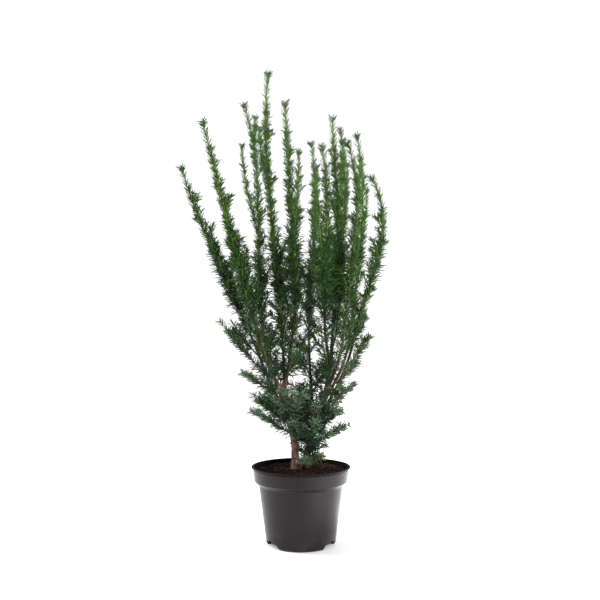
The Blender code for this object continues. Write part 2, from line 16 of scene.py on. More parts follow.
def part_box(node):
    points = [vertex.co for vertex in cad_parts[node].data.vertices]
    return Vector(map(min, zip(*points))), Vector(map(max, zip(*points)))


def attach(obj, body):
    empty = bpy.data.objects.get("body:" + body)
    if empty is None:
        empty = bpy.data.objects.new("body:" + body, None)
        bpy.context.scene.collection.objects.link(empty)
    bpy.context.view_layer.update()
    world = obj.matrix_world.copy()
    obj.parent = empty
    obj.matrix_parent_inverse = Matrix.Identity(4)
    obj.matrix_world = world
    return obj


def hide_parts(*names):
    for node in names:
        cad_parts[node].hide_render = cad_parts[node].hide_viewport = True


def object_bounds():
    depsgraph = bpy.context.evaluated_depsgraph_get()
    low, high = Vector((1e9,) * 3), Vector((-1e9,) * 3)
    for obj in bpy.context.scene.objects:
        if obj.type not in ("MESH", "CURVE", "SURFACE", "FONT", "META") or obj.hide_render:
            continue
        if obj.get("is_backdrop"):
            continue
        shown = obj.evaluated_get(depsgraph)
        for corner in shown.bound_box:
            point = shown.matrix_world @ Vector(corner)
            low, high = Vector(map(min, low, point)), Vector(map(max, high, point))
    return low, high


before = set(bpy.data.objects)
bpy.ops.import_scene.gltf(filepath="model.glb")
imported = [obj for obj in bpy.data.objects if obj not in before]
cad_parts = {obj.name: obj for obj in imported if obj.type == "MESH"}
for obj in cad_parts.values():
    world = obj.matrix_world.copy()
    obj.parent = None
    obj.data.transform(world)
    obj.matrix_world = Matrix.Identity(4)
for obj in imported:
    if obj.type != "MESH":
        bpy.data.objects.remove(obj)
cad_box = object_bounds()


# The nursery pot: thin black polypropylene, injection moulded, with a lip, a deep band and a tapering
# body. It stands on its foot between three notches, which have drain holes. The outside is satin, with a
# little dust and soil on it. The inside, the top of the rim and the fold under the lip are a duller, darker
# black, which inside the pot and under the lip is painted shade.

MM = 0.001
UP = Vector((0, 0, 1))
WELD = 0.01 * MM
pot_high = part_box("pot")[1]
POT_HEIGHT = pot_high.z
LIP_RADIUS = pot_high.x
LIP_DEPTH = 3 * MM
LIP_SLOPE_TOP = POT_HEIGHT - 0.7 * LIP_DEPTH
UNDER_LIP_TOP = POT_HEIGHT - 0.75 * LIP_DEPTH
BAND_TOP_RADIUS = LIP_RADIUS - 2.7 * MM
BAND_FOOT_RADIUS = BAND_TOP_RADIUS - 3.4 * MM
BAND_FOOT = POT_HEIGHT - 27.5 * MM
STEP_FOOT = BAND_FOOT - 8 * MM
BODY_TOP_RADIUS = 82.8 * MM
BODY_FOOT_RADIUS = 67.6 * MM
FOOT_RADIUS = 64.5 * MM
FOOT_ROUNDING = 4 * MM
POT_WALL = 1.6 * MM
POT_STEPS = 160
POT_EDGE = 0.7 * MM
POT_SUPPORT = 1.6 * MM
LONGEST_SUPPORT = 0.3  # of a straight: a shorter straight needs no further points
POT_SHARP_ANGLE = math.radians(32)
HOOP_ANGLE = math.radians(8)
NOTCHES = 3
NOTCH_HALF_ANGLE = math.radians(21)
NOTCH_TAPER = 0.88
NOTCH_HEIGHT = 9 * MM
NOTCH_REACH = 12 * MM
NOTCH_STEPS = 18
DRAIN_RADIUS = 4.5 * MM
DRAIN_STEPS = 28
POT_FINISHES = {  # each with its colour, its gloss and its span of roughness
    "satin_black_plastic": ((0.0115, 0.0066, 0.0100), 0.28, (0.24, 0.32)),
    # darker than the satin: painted shade inside the pot and in the fold under the lip, and the dull top of
    # the rim
    "dull_black_plastic": ((0.0022, 0.0018, 0.0020), 0.05, (0.55, 0.70)),
}
POT_DUST = (0.060, 0.050, 0.050)
SOIL_TOP = 45 * MM
SOIL_DUST = 0.5
STREAK_DUST = 0.06
MOULD_GRAIN = 0.05 * MM


def new_material(name, colour, roughness, gloss):
    """A material with one Principled shader. Returns the material, its node tree and that shader."""
    made = bpy.data.materials.new(name)
    made.use_nodes = True
    shader = made.node_tree.nodes["Principled BSDF"]
    shader.inputs["Base Color"].default_value = (*colour, 1)
    shader.inputs["Roughness"].default_value = roughness
    shader.inputs["Specular IOR Level"].default_value = gloss
    return made, made.node_tree, shader


def add_node(tree, kind, **inputs):
    """A shader node whose inputs, given by name, are set to values or linked from sockets."""
    node = tree.nodes.new(kind)
    for label, value in inputs.items():
        socket = node.inputs[label.replace("_", " ")]
        if isinstance(value, bpy.types.NodeSocket):
            tree.links.new(value, socket)
        else:
            socket.default_value = value
    return node


def pattern_space(tree, stretch=(1, 1, 1)):
    """Object coordinates, scaled axis by axis."""
    place = add_node(tree, "ShaderNodeTexCoord").outputs["Object"]
    return add_node(tree, "ShaderNodeMapping", Vector=place, Scale=stretch).outputs["Vector"]


def grain(tree, place, scale, detail, rough=0.55):
    """The value of a noise pattern, about 0.3 to 0.7."""
    made = add_node(tree, "ShaderNodeTexNoise", Vector=place, Scale=scale, Detail=detail, Roughness=rough)
    return made.outputs["Fac"]


def ramp(tree, value, low, high, to_low=0.0, to_high=1.0):
    """A value brought from the span low to high into another span, and held there."""
    spans = {"From_Min": low, "From_Max": high, "To_Min": to_low, "To_Max": to_high}
    return add_node(tree, "ShaderNodeMapRange", Value=value, **spans).outputs["Result"]


def blend(tree, share, first, second):
    """A colour between two others, each a colour or a socket."""
    node = tree.nodes.new("ShaderNodeMix")
    node.data_type = "RGBA"
    for socket, value in ((node.inputs[0], share), (node.inputs[6], first), (node.inputs[7], second)):
        if isinstance(value, bpy.types.NodeSocket):
            tree.links.new(value, socket)
        elif isinstance(value, tuple):
            socket.default_value = (*value, 1)
        else:
            socket.default_value = value
    return node.outputs[2]


def height_of(tree, place):
    """How high a place of the pattern is."""
    return add_node(tree, "ShaderNodeSeparateXYZ", Vector=place).outputs["Z"]


def scaled(tree, first, second, more=0.0):
    """first times second, plus more. Each is a number or a socket."""
    node = tree.nodes.new("ShaderNodeMath")
    node.operation = "MULTIPLY_ADD"
    for socket, value in zip(node.inputs, (first, second, more)):
        if isinstance(value, bpy.types.NodeSocket):
            tree.links.new(value, socket)
        else:
            socket.default_value = value
    return node.outputs["Value"]


def bump(tree, shader, height, distance, strength=1.0):
    """Tilts the shader's normal by a pattern that stands up to distance high."""
    made = add_node(tree, "ShaderNodeBump", Height=height, Distance=distance, Strength=strength)
    tree.links.new(made.outputs["Normal"], shader.inputs["Normal"])


def add_piece(name, mesh, materials, smooth_angle=None):
    """A finished piece in the scene, with its place in its mesh."""
    for material in materials:
        mesh.materials.append(material)
    if smooth_angle is not None:
        mesh.shade_smooth()
        mesh.set_sharp_from_angle(angle=smooth_angle)
    piece = bpy.data.objects.new(name, mesh)
    bpy.context.scene.collection.objects.link(piece)
    return piece


def to_mesh(name, bm):
    """The bmesh as a mesh. The bmesh is freed."""
    mesh = bpy.data.meshes.new(name)
    bm.to_mesh(mesh)
    bm.free()
    return mesh


def settle(piece):
    """Applies the piece's modifiers to its mesh."""
    graph = bpy.context.evaluated_depsgraph_get()
    mesh = bpy.data.meshes.new_from_object(piece.evaluated_get(graph))
    piece.modifiers.clear()
    piece.data = mesh


def cut_or_join(piece, operation, bm):
    """Cuts a closed shape out of the piece, or joins it on."""
    other = add_piece("tool", to_mesh("tool", bm), [])
    step = piece.modifiers.new("step", "BOOLEAN")
    step.operation = operation
    step.object = other
    settle(piece)
    bpy.data.objects.remove(other)


def turned(profile, steps, edge):
    """A closed body turned round the Z axis from (radius, height) points, its hoops rounded off by edge."""
    bm = bmesh.new()
    verts = [bm.verts.new((radius, 0, z)) for radius, z in profile]
    edges = [bm.edges.new(pair) for pair in zip(verts, verts[1:])]
    bmesh.ops.spin(bm, geom=verts + edges, cent=(0, 0, 0), axis=UP, angle=math.tau, steps=steps,
                   use_merge=True)
    bmesh.ops.remove_doubles(bm, verts=bm.verts, dist=WELD)
    bmesh.ops.recalc_face_normals(bm, faces=bm.faces)
    if edge:
        level = [e for e in bm.edges if abs(e.verts[0].co.z - e.verts[1].co.z) < WELD]
        hoops = [e for e in level if e.is_manifold and e.calc_face_angle() > HOOP_ANGLE]
        bmesh.ops.bevel(bm, geom=hoops, offset=edge, segments=3, profile=0.5, affect="EDGES", material=-1,
                        clamp_overlap=True)
    return bm


def pot_inside():
    """The inner wall's profile, from the floor up, as (radius, height)."""
    slant = POT_WALL / 2
    return [
        (FOOT_RADIUS - POT_WALL, POT_WALL),
        (BODY_FOOT_RADIUS - POT_WALL, FOOT_ROUNDING + slant),
        (BODY_TOP_RADIUS - POT_WALL, STEP_FOOT + slant),
        (BAND_FOOT_RADIUS - POT_WALL, BAND_FOOT + slant),
        (BAND_TOP_RADIUS - POT_WALL, POT_HEIGHT),
    ]


def inner_radius(z):
    """The radius of the pot's inner wall at a height."""
    radii, heights = zip(*pot_inside())
    return float(np.interp(z, heights, radii))


def notch_block(turn, low, high, half_angles, inner, outers):
    """A closed block at a notch. Its half angle and outer radius are given for its foot and its top."""
    bm = bmesh.new()
    for z, half, outer in zip((low, high), half_angles, outers):
        angles = [turn - math.pi / 2 + half * share for share in np.linspace(-1, 1, NOTCH_STEPS + 1)]
        outline = [(outer, a) for a in angles] + [(inner, a) for a in reversed(angles)]
        row = [bm.verts.new((r * math.cos(a), r * math.sin(a), z)) for r, a in outline]
        for k in range(len(row)):
            bm.edges.new((row[k - 1], row[k]))
    bmesh.ops.bridge_loops(bm, edges=bm.edges[:])
    bmesh.ops.holes_fill(bm, edges=bm.edges[:])
    bmesh.ops.recalc_face_normals(bm, faces=bm.faces)
    return bm


def drain_bar(turn):
    """A round bar through the wall at the roof of a notch, to cut its drain hole."""
    bm = bmesh.new()
    way = Vector((math.sin(turn), -math.cos(turn), 0))
    turned_outwards = way.to_track_quat("Z", "Y").to_matrix().to_4x4()
    place = Matrix.Translation(way * FOOT_RADIUS + UP * NOTCH_HEIGHT) @ turned_outwards
    bmesh.ops.create_cone(bm, cap_ends=True, segments=DRAIN_STEPS, depth=NOTCH_REACH, matrix=place,
                          radius1=DRAIN_RADIUS, radius2=DRAIN_RADIUS)
    return bm


def with_supports(profile, inset):
    """The profile with a further point near both ends of each long straight, so that it shades flat."""
    made = [profile[0]]
    for low, high in zip(profile, profile[1:]):
        share = inset / math.dist(low, high)
        if share < LONGEST_SUPPORT:
            made += [tuple(Vector(low).lerp(Vector(high), at)) for at in (share, 1 - share)]
        made.append(high)
    return made


pot_outside = [
    (0, 0),
    (FOOT_RADIUS, 0),
    (BODY_FOOT_RADIUS, FOOT_ROUNDING),
    (BODY_TOP_RADIUS, STEP_FOOT),
    (BAND_FOOT_RADIUS, BAND_FOOT),
    (BAND_TOP_RADIUS, POT_HEIGHT - LIP_DEPTH),
    (LIP_RADIUS, LIP_SLOPE_TOP),
    (LIP_RADIUS, POT_HEIGHT),
]
pot_profile = with_supports(pot_outside, POT_SUPPORT) + pot_inside()[::-1] + [(0, POT_WALL)]
pot_body = turned(pot_profile, POT_STEPS, POT_EDGE)
pot = add_piece("nursery_pot", to_mesh("nursery_pot", pot_body), [])
notch_turns = [(k + 0.5) * math.tau / NOTCHES for k in range(NOTCHES)]
cheek = POT_WALL / FOOT_RADIUS
wide, narrow = NOTCH_HALF_ANGLE, NOTCH_HALF_ANGLE * NOTCH_TAPER
notch_roof = NOTCH_HEIGHT + POT_WALL
notch_back = FOOT_RADIUS - NOTCH_REACH
mid_walls = (FOOT_RADIUS - POT_WALL / 2, inner_radius(notch_roof) + POT_WALL / 2)
for turn in notch_turns:
    housing = notch_block(turn, POT_WALL / 2, notch_roof, (wide + cheek, narrow + cheek),
                          notch_back - POT_WALL, mid_walls)
    notch = notch_block(turn, -POT_WALL, NOTCH_HEIGHT, (wide, narrow), notch_back, (LIP_RADIUS, LIP_RADIUS))
    cut_or_join(pot, "UNION", housing)
    cut_or_join(pot, "DIFFERENCE", notch)
    cut_or_join(pot, "DIFFERENCE", drain_bar(turn))

for name, (black, gloss, roughness) in POT_FINISHES.items():
    pot_skin, tree, shader = new_material(name, black, roughness[0], gloss)
    place = pattern_space(tree)
    soil_line = ramp(tree, height_of(tree, place), 0, SOIL_TOP, SOIL_DUST, 0)
    clouds = ramp(tree, grain(tree, place, scale=26, detail=6), 0.5, 0.72)
    upright = pattern_space(tree, (1, 1, 0.12))
    streaks = ramp(tree, grain(tree, upright, scale=90, detail=4), 0.5, 0.75)
    dust = scaled(tree, clouds, soil_line, scaled(tree, streaks, STREAK_DUST))
    tree.links.new(blend(tree, dust, black, POT_DUST), shader.inputs["Base Color"])
    worn = ramp(tree, grain(tree, place, scale=40, detail=5), 0.3, 0.7, *roughness)
    tree.links.new(worn, shader.inputs["Roughness"])
    bump(tree, shader, grain(tree, place, scale=1500, detail=3), MOULD_GRAIN, 0.5)
    pot.data.materials.append(pot_skin)
# painted shade: the inside of the pot and the fold under the lip take the darker dull black
for face in pot.data.polygons:
    inner = face.normal.x * face.center.x + face.normal.y * face.center.y < 0
    painted_shade_under_lip = POT_HEIGHT - LIP_DEPTH - POT_SUPPORT < face.center.z < UNDER_LIP_TOP
    face.material_index = int(inner or painted_shade_under_lip or face.center.z > POT_HEIGHT - POT_EDGE)
pot.data.shade_smooth()
pot.data.set_sharp_from_angle(angle=POT_SHARP_ANGLE)
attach(pot, "root")
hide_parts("pot")


# The compost: a peat and bark mix that fills the pot to a finger under the rim and rises a little to the
# stems. It is a bed with a lumpy top, strewn with crumbs of peat, chips of bark and a few grains of grit.
# On the left it is darker, which is painted shade.

SEED = 7
COMPOST_EDGE = POT_HEIGHT - 9 * MM
COMPOST_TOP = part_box("compost")[1].z
COMPOST_CROWN_RADIUS = 26 * MM
COMPOST_GAP = 0.75 * MM
COMPOST_RIM = inner_radius(COMPOST_EDGE) - COMPOST_GAP
BED_STEPS = 160
BED_RINGS = 60
LUMP_HEIGHT = 1.5 * MM
LUMP_WIDTH = 9 * MM
CRUMBS = 5200
CRUMB_SHAPES = 4
CRUMB_SIZES = [(0.8 * MM, 2.6 * MM)] * 3
BROWN_CRUMBS = (0, 0, 1)
CHIPS = 520
CHIP_SIZES = [(1.4 * MM, 3.2 * MM), (4 * MM, 10 * MM), (0.7 * MM, 1.4 * MM)]
CHIP_TILT = 0.45
TAN_CHIPS = 0.22
GRITS = 160
GRIT_SIZES = [(0.5 * MM, 0.9 * MM)] * 3
GRIT_RISE = 0.5 * MM
PEAT_DARK = (0.0075, 0.0045, 0.0035)
PEAT_BROWN = (0.030, 0.014, 0.009)
CHIP_RED = (0.062, 0.026, 0.017)
CHIP_TAN = (0.13, 0.085, 0.055)
GRIT_PALE = (0.34, 0.31, 0.26)
# painted shade: the compost is darker towards the left
LEFT_SHADE_SPAN = (-55 * MM, 10 * MM)
LEFT_SHADE_VALUE = 0.1


def shaded_on_left(tree, colour):
    """A colour made darker towards the left side of the bed: painted shade."""
    place = pattern_space(tree)
    across = add_node(tree, "ShaderNodeSeparateXYZ", Vector=place).outputs["X"]
    unshaded = ramp(tree, across, *LEFT_SHADE_SPAN, LEFT_SHADE_VALUE, 1)
    node = add_node(tree, "ShaderNodeHueSaturation", Color=colour, Value=unshaded)
    return node.outputs["Color"]


def bed_height(x, y):
    """The height of the compost's surface, lumps included. At the rim it is level."""
    radius = math.hypot(x, y)
    rise = min(1.0, max(0.0, (COMPOST_RIM - radius) / (COMPOST_RIM - COMPOST_CROWN_RADIUS)))
    smooth = COMPOST_EDGE + (COMPOST_TOP - COMPOST_EDGE) * math.sin(rise * math.pi / 2)
    spot = Vector((x, y, 0)) / LUMP_WIDTH
    lumps = noise.noise(spot) * 0.7 + noise.noise(spot * 2.7) * 0.35
    return smooth + min(0, lumps - 0.25) * LUMP_HEIGHT * min(1, 6 * rise)


bed_profile = [(0, POT_WALL + COMPOST_GAP)]
bed_profile += [(radius - COMPOST_GAP, z + COMPOST_GAP) for radius, z in pot_inside()[:-1]]
bed_profile += [(COMPOST_RIM * share, COMPOST_EDGE) for share in np.linspace(1, 0, BED_RINGS)]
bed = turned(bed_profile, BED_STEPS, 0)
for vert in bed.verts:
    if vert.co.z > COMPOST_EDGE - WELD:
        vert.co.z = bed_height(vert.co.x, vert.co.y)
compost = add_piece("compost_bed", to_mesh("compost_bed", bed), [])
block_half_angles = (wide + 2 * cheek, narrow + 2 * cheek)
for turn in notch_turns:
    hollow = notch_block(turn, -POT_WALL, notch_roof + COMPOST_GAP, block_half_angles,
                         notch_back - POT_WALL - COMPOST_GAP, (LIP_RADIUS, LIP_RADIUS))
    cut_or_join(compost, "DIFFERENCE", hollow)

bed_skin, tree, shader = new_material("peat", PEAT_DARK, 0.95, 0.08)
place = pattern_space(tree)
fine = grain(tree, place, scale=420, detail=8, rough=0.7)
peat = blend(tree, ramp(tree, fine, 0.45, 0.75), PEAT_DARK, PEAT_BROWN)
# painted shade: the peat is darker towards the left
tree.links.new(shaded_on_left(tree, peat), shader.inputs["Base Color"])
bump(tree, shader, fine, 0.8 * MM)
compost.data.materials.append(bed_skin)
compost.data.shade_smooth()
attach(compost, "root")
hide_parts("compost")


def as_pattern(bm, underside=False):
    """A small shape as arrays: its corners, its triangles, and 1 for each triangle of its underside."""
    bmesh.ops.triangulate(bm, faces=bm.faces)
    bm.verts.index_update()
    corners = np.array([tuple(vert.co) for vert in bm.verts])
    triangles = np.array([[vert.index for vert in face.verts] for face in bm.faces])
    below = np.array([int(underside and face.normal.y < -0.5) for face in bm.faces])
    bm.free()
    return corners, triangles, below


def stamped(name, batches, materials):
    """One mesh of many copies. A batch has a pattern, and for each copy a 3x4 matrix and a material number.
    Undersides take the last material."""
    corners, triangles, numbers, start = [], [], [], 0
    for (points, faces, below), places, tints in batches:
        if not len(places):
            continue
        placed = np.einsum("nij,vj->nvi", places[:, :, :3], points) + places[:, None, :, 3]
        corners.append(placed.reshape(-1, 3))
        firsts = start + np.arange(len(places)) * len(points)
        triangles.append((faces[None] + firsts[:, None, None]).reshape(-1, 3))
        numbers.append(np.where(below[None] == 1, len(materials) - 1, np.asarray(tints)[:, None]).ravel())
        start += placed.shape[0] * placed.shape[1]
    corners, triangles, numbers = (np.concatenate(rows) for rows in (corners, triangles, numbers))
    mesh = bpy.data.meshes.new(name)
    mesh.vertices.add(len(corners))
    mesh.vertices.foreach_set("co", corners.astype(np.float32).ravel())
    mesh.loops.add(triangles.size)
    mesh.loops.foreach_set("vertex_index", triangles.astype(np.int32).ravel())
    mesh.polygons.add(len(triangles))
    mesh.polygons.foreach_set("loop_start", np.arange(0, triangles.size, 3, dtype=np.int32))
    mesh.polygons.foreach_set("material_index", numbers.astype(np.int32))
    mesh.update(calc_edges=True)
    return add_piece(name, mesh, materials)


def crumb_pattern(seed, roughness):
    """A lumpy crumb of 20 faces, about 1 across."""
    bm = bmesh.new()
    bmesh.ops.create_icosphere(bm, subdivisions=1, radius=0.5)
    rng = random.Random(seed)
    for vert in bm.verts:
        vert.co *= 1 + rng.uniform(-roughness, roughness)
    return as_pattern(bm)


def strewn(rng, count, reach, sizes, lie):
    """A 3x4 matrix for each of count small things on the bed. lie is their tilt at most, in radians."""
    places = []
    for _ in range(count):
        radius, turn = reach * math.sqrt(rng.random()), rng.uniform(0, math.tau)
        x, y = radius * math.cos(turn), radius * math.sin(turn)
        spin = Matrix.Rotation(rng.uniform(0, math.tau), 3, "Z")
        spin = spin @ Matrix.Rotation(rng.uniform(-lie, lie), 3, "X")
        size = Vector(rng.uniform(low, high) for low, high in sizes)
        shape = spin @ Matrix.Diagonal(size)
        spot = Vector((x, y, bed_height(x, y) + 0.25 * size.z))
        places.append(np.hstack([np.array(shape), np.array(spot)[:, None]]))
    return np.array(places)


def mottled(name, dark, light, scale, roughness):
    """A rough material whose colour wanders between two tones, with painted shade towards the left."""
    made, tree, shader = new_material(name, dark, roughness, 0.1)
    share = ramp(tree, grain(tree, pattern_space(tree), scale, detail=3), 0.35, 0.65)
    tree.links.new(shaded_on_left(tree, blend(tree, share, dark, light)), shader.inputs["Base Color"])
    return made


rng = random.Random(SEED)
crumb_batches = []
for seed in range(CRUMB_SHAPES):
    places = strewn(rng, CRUMBS // CRUMB_SHAPES, COMPOST_RIM - 2 * MM, CRUMB_SIZES, math.pi)
    crumb_batches.append((crumb_pattern(seed, 0.32), places, [rng.choice(BROWN_CRUMBS) for _ in places]))
crumb_skins = [
    mottled("dark_peat_crumb", PEAT_DARK, PEAT_BROWN, 260, 0.95),
    mottled("brown_peat_crumb", PEAT_BROWN, CHIP_RED, 260, 0.9),
]
crumbs = stamped("peat_crumbs", crumb_batches, crumb_skins)
chip_places = strewn(rng, CHIPS, COMPOST_RIM - 7 * MM, CHIP_SIZES, CHIP_TILT)
chip_skins = [
    mottled("red_bark_chip", PEAT_BROWN, CHIP_RED, 300, 0.85),
    mottled("tan_bark_chip", CHIP_RED, CHIP_TAN, 300, 0.8),
]
chip_tints = [int(rng.random() < TAN_CHIPS) for _ in chip_places]
chips = stamped("bark_chips", [(crumb_pattern(11, 0.25), chip_places, chip_tints)], chip_skins)
grit_places = strewn(rng, GRITS, COMPOST_RIM - 4 * MM, GRIT_SIZES, math.pi)
grit_places[:, 2, 3] += GRIT_RISE
grit = stamped("grit", [(crumb_pattern(12, 0.2), grit_places, [0] * GRITS)],
               [mottled("pale_grit", CHIP_TAN, GRIT_PALE, 500, 0.6)])
for piece in (crumbs, chips, grit):
    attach(piece, "root")


# The stems and boughs: two stems of living wood that part at the compost and carry ten boughs. Each limb
# is a tapering tube round its own line, grown together with the others of its stem. The bark is thin,
# ridged and flaking, red-brown and purple-brown low down and olive-brown on the younger wood.

STEMS = {  # the points that each runs through and its radii at the first of them, in millimetres
    "left_stem": (
        [(-10, -8, 143.5), (-11, -8, 165), (-15, -9, 205), (-33, -14, 272), (-34, -16, 300),
         (-24, -20, 345), (-17, -26, 400), (-12, -34, 455), (-18, -66, 610), (-31, -85, 850)],
        [10.5, 7.8, 6.6, 6.0, 5.2, 3.7, 2.6],
    ),
    "right_stem": (
        [(8, 6, 143.5), (11, 6, 165), (20, 6, 200), (33, 3, 245), (50, -1, 295), (60, -10, 365),
         (63, -19, 418), (70, -29, 470), (74, -46, 580), (61, -65, 828)],
        [9.5, 7.4, 6.6, 5.8, 4.9, 3.9, 2.6],
    ),
}
BRANCHES = {  # each with its stem, the height of its fork, its top, its leader's tip and the lean there
    "far_left": ("left_stem", 247, (-101, 14, 404), (-247, 10, 751), (-0.30, 0.0)),
    "left_front": ("left_stem", 290, (-86, -42, 410), (-194, -52, 825), (-0.25, 0.0)),
    "left_back": ("left_stem", 275, (-77, 41, 412), (-123, 68, 906), (-0.30, 0.0)),
    "tall": ("left_stem", 316, (-37, 3, 394), (-68, 0, 947), (0.10, 0.0)),
    "back": ("right_stem", 226, (17, 60, 392), (23, 95, 830), (-0.15, 0.0)),
    "front": ("right_stem", 346, (46, -50, 420), (39, -100, 760), (-0.20, 0.0)),
    "back_right": ("right_stem", 380, (75, 28, 434), (87, 100, 862), (-0.15, 0.0)),
    "right_front": ("right_stem", 292, (82, -43, 402), (90, -72, 776), (-0.35, 0.0)),
    "right_back": ("right_stem", 264, (100, 40, 398), (119, 52, 833), (-0.20, 0.0)),
    "far_right": ("right_stem", 238, (102, -22, 388), (141, -24, 720), (-0.60, 0.0)),
}
BOUGH_FOOT_RADIUS = 3.6 * MM
BOUGH_TIP_RADIUS = 2.5 * MM
BOUGH_SHARE = 0.8
BOUGH_SPREAD = 1.5
COLLAR_SWELL = 1.35  # how much wider a bough is where it leaves its stem
COLLAR_LENGTH = 18 * MM
LINE_STEP = 5 * MM
FOOT_DEPTH = 4 * MM  # how far the stems go down into the compost
FOOT_SWELL = 1.12
CURVE_STEPS = 25
LIMB_SIDES = 6
BARK_GRID = 0.75 * MM
BARK_SMOOTHINGS = 4
BARK_RIDGES = 0.42 * MM
BARK_PLATES = 0.5 * MM
RIDGE_WIDTH = 2.6 * MM
RIDGE_STRETCH = 0.16
PLATE_SIZE = 9 * MM
PLATE_STRETCH = 0.4
OLD_THICKNESS = 6 * MM  # a thinner limb has flatter bark
LIMB_SHIFT = 31 * MM  # sets the bark of each limb off against the next
BARK_RED = (0.34, 0.190, 0.145)
BARK_PURPLE = (0.130, 0.075, 0.062)
BARK_FRESH = (0.28, 0.130, 0.072)
BARK_BROWN = (0.080, 0.046, 0.030)
BARK_OLIVE = (0.140, 0.105, 0.050)
BARK_OLD_TOP = 300 * MM  # below this the bark is red, and above the next it is olive
BARK_YOUNG_FOOT = 322 * MM


def directions(line):
    """The way a line runs at each of its points."""
    return [(line[min(i + 1, len(line) - 1)] - line[max(i - 1, 0)]).normalized() for i in range(len(line))]


def smooth_line(points, first=None, last=None):
    """A fine line, LINE_STEP by LINE_STEP, on a smooth curve through the points. first and last lead it."""
    ways = directions(points)
    if first is not None:
        ways[0] = Vector(first).normalized()
    if last is not None:
        ways[-1] = Vector(last).normalized()
    fine = [points[0]]
    for a, b, way_a, way_b in zip(points, points[1:], ways, ways[1:]):
        chord = (b - a).length
        for u in np.linspace(0, 1, CURVE_STEPS)[1:]:
            start = a * (2 * u**3 - 3 * u**2 + 1) + way_a * chord * (u**3 - 2 * u**2 + u)
            fine.append(start + b * (3 * u**2 - 2 * u**3) + way_b * chord * (u**3 - u**2))
    along = np.concatenate([[0], np.cumsum([(q - p).length for p, q in zip(fine, fine[1:])])])
    marks = np.linspace(0, along[-1], max(2, round(along[-1] / LINE_STEP) + 1))
    return [Vector(p) for p in zip(*(np.interp(marks, along, axis) for axis in zip(*fine)))]


def point_at(line, height):
    """The number of the line's point that is nearest to a height."""
    return min(range(len(line)), key=lambda i: abs(line[i].z - height))


def flatter(way, spread):
    """A direction with its level part made spread times as long."""
    return Vector((way.x * spread, way.y * spread, way.z))


def frames(line):
    """For each point of a line, the directions across it and along it. They turn as little as they can."""
    ways = directions(line)
    across = ways[0].orthogonal()
    made = []
    for way in ways:
        across = (across - way * across.dot(way)).normalized()
        made.append((across, way.cross(across), way))
    return made


limbs, leaders, carried_by = {}, {}, {}
for name, (points, radii) in STEMS.items():
    line = smooth_line([Vector(p) * MM for p in points])
    heights = [p[2] * MM for p in points[: len(radii)]]
    collar = point_at(line, heights[-1])
    limb = line[: collar + 1]
    limbs[name] = (limb, [float(np.interp(p.z, heights, radii)) * MM for p in limb])
    leaders[name] = line[collar:]
    carried_by[name] = name
for name, (stem, height, collar, tip, lean) in BRANCHES.items():
    stem_line, stem_radii = limbs[stem]
    root = point_at(stem_line, height * MM)
    foot, collar, tip = stem_line[root], Vector(collar) * MM, Vector(tip) * MM
    line = smooth_line([foot, collar, tip], first=flatter(collar - foot, BOUGH_SPREAD), last=(*lean, 1))
    cut = point_at(line, collar.z)
    thick = min(BOUGH_FOOT_RADIUS, stem_radii[root] * BOUGH_SHARE)
    limbs[name] = (line[: cut + 1], list(np.linspace(thick, BOUGH_TIP_RADIUS, cut + 1)))
    leaders[name] = line[cut:]
    carried_by[name] = stem


def tubes(name, lines, sides_step, finishes):
    """One mesh of closed tubes. Each line comes with its radii and the number of its finish."""
    curve = bpy.data.curves.new(name, "CURVE")
    curve.dimensions = "3D"
    curve.bevel_depth = 1
    curve.bevel_resolution = sides_step
    curve.use_fill_caps = True
    for finish in finishes:
        curve.materials.append(finish)
    for line, radii, number in lines:
        spline = curve.splines.new("POLY")
        spline.points.add(len(line) - 1)
        spline.points.foreach_set("co", [value for point in line for value in (*point, 1)])
        spline.points.foreach_set("radius", radii)
        spline.material_index = number
    guide = bpy.data.objects.new(name, curve)
    bpy.context.scene.collection.objects.link(guide)
    graph = bpy.context.evaluated_depsgraph_get()
    mesh = bpy.data.meshes.new_from_object(guide.evaluated_get(graph))
    bpy.data.objects.remove(guide)
    mesh.name = name
    return mesh


def swollen(line, radii, is_bough):
    """A bough's radii with the collar where it leaves its stem."""
    if not is_bough:
        return radii
    along = [k * LINE_STEP for k in range(len(line))]
    swell = [1 + (COLLAR_SWELL - 1) * math.exp(-((s / COLLAR_LENGTH) ** 2)) for s in along]
    return [radius * grown for radius, grown in zip(radii, swell)]


def bark_relief(across, around, along, thickness):
    """How far the bark stands out at a place on a limb: long ridges, and plates that lift."""
    spot = Vector((across, around, along * RIDGE_STRETCH)) / RIDGE_WIDTH
    ridges = 1 - abs(noise.noise(spot)) * 2.2 + 0.4 * noise.noise(spot * 2.3)
    plates = noise.voronoi(Vector((across, around, along * PLATE_STRETCH)) / PLATE_SIZE)[0]
    lift = min(1.0, (plates[1] - plates[0]) * 5)
    old = min(1.0, thickness / OLD_THICKNESS)
    return (ridges - 0.5) * BARK_RIDGES * old + (lift - 0.6) * BARK_PLATES * old


def nearest_among(points):
    """A search for the nearest of some points."""
    tree = kdtree.KDTree(len(points))
    for number, point in enumerate(points):
        tree.insert(point, number)
    tree.balance()
    return tree


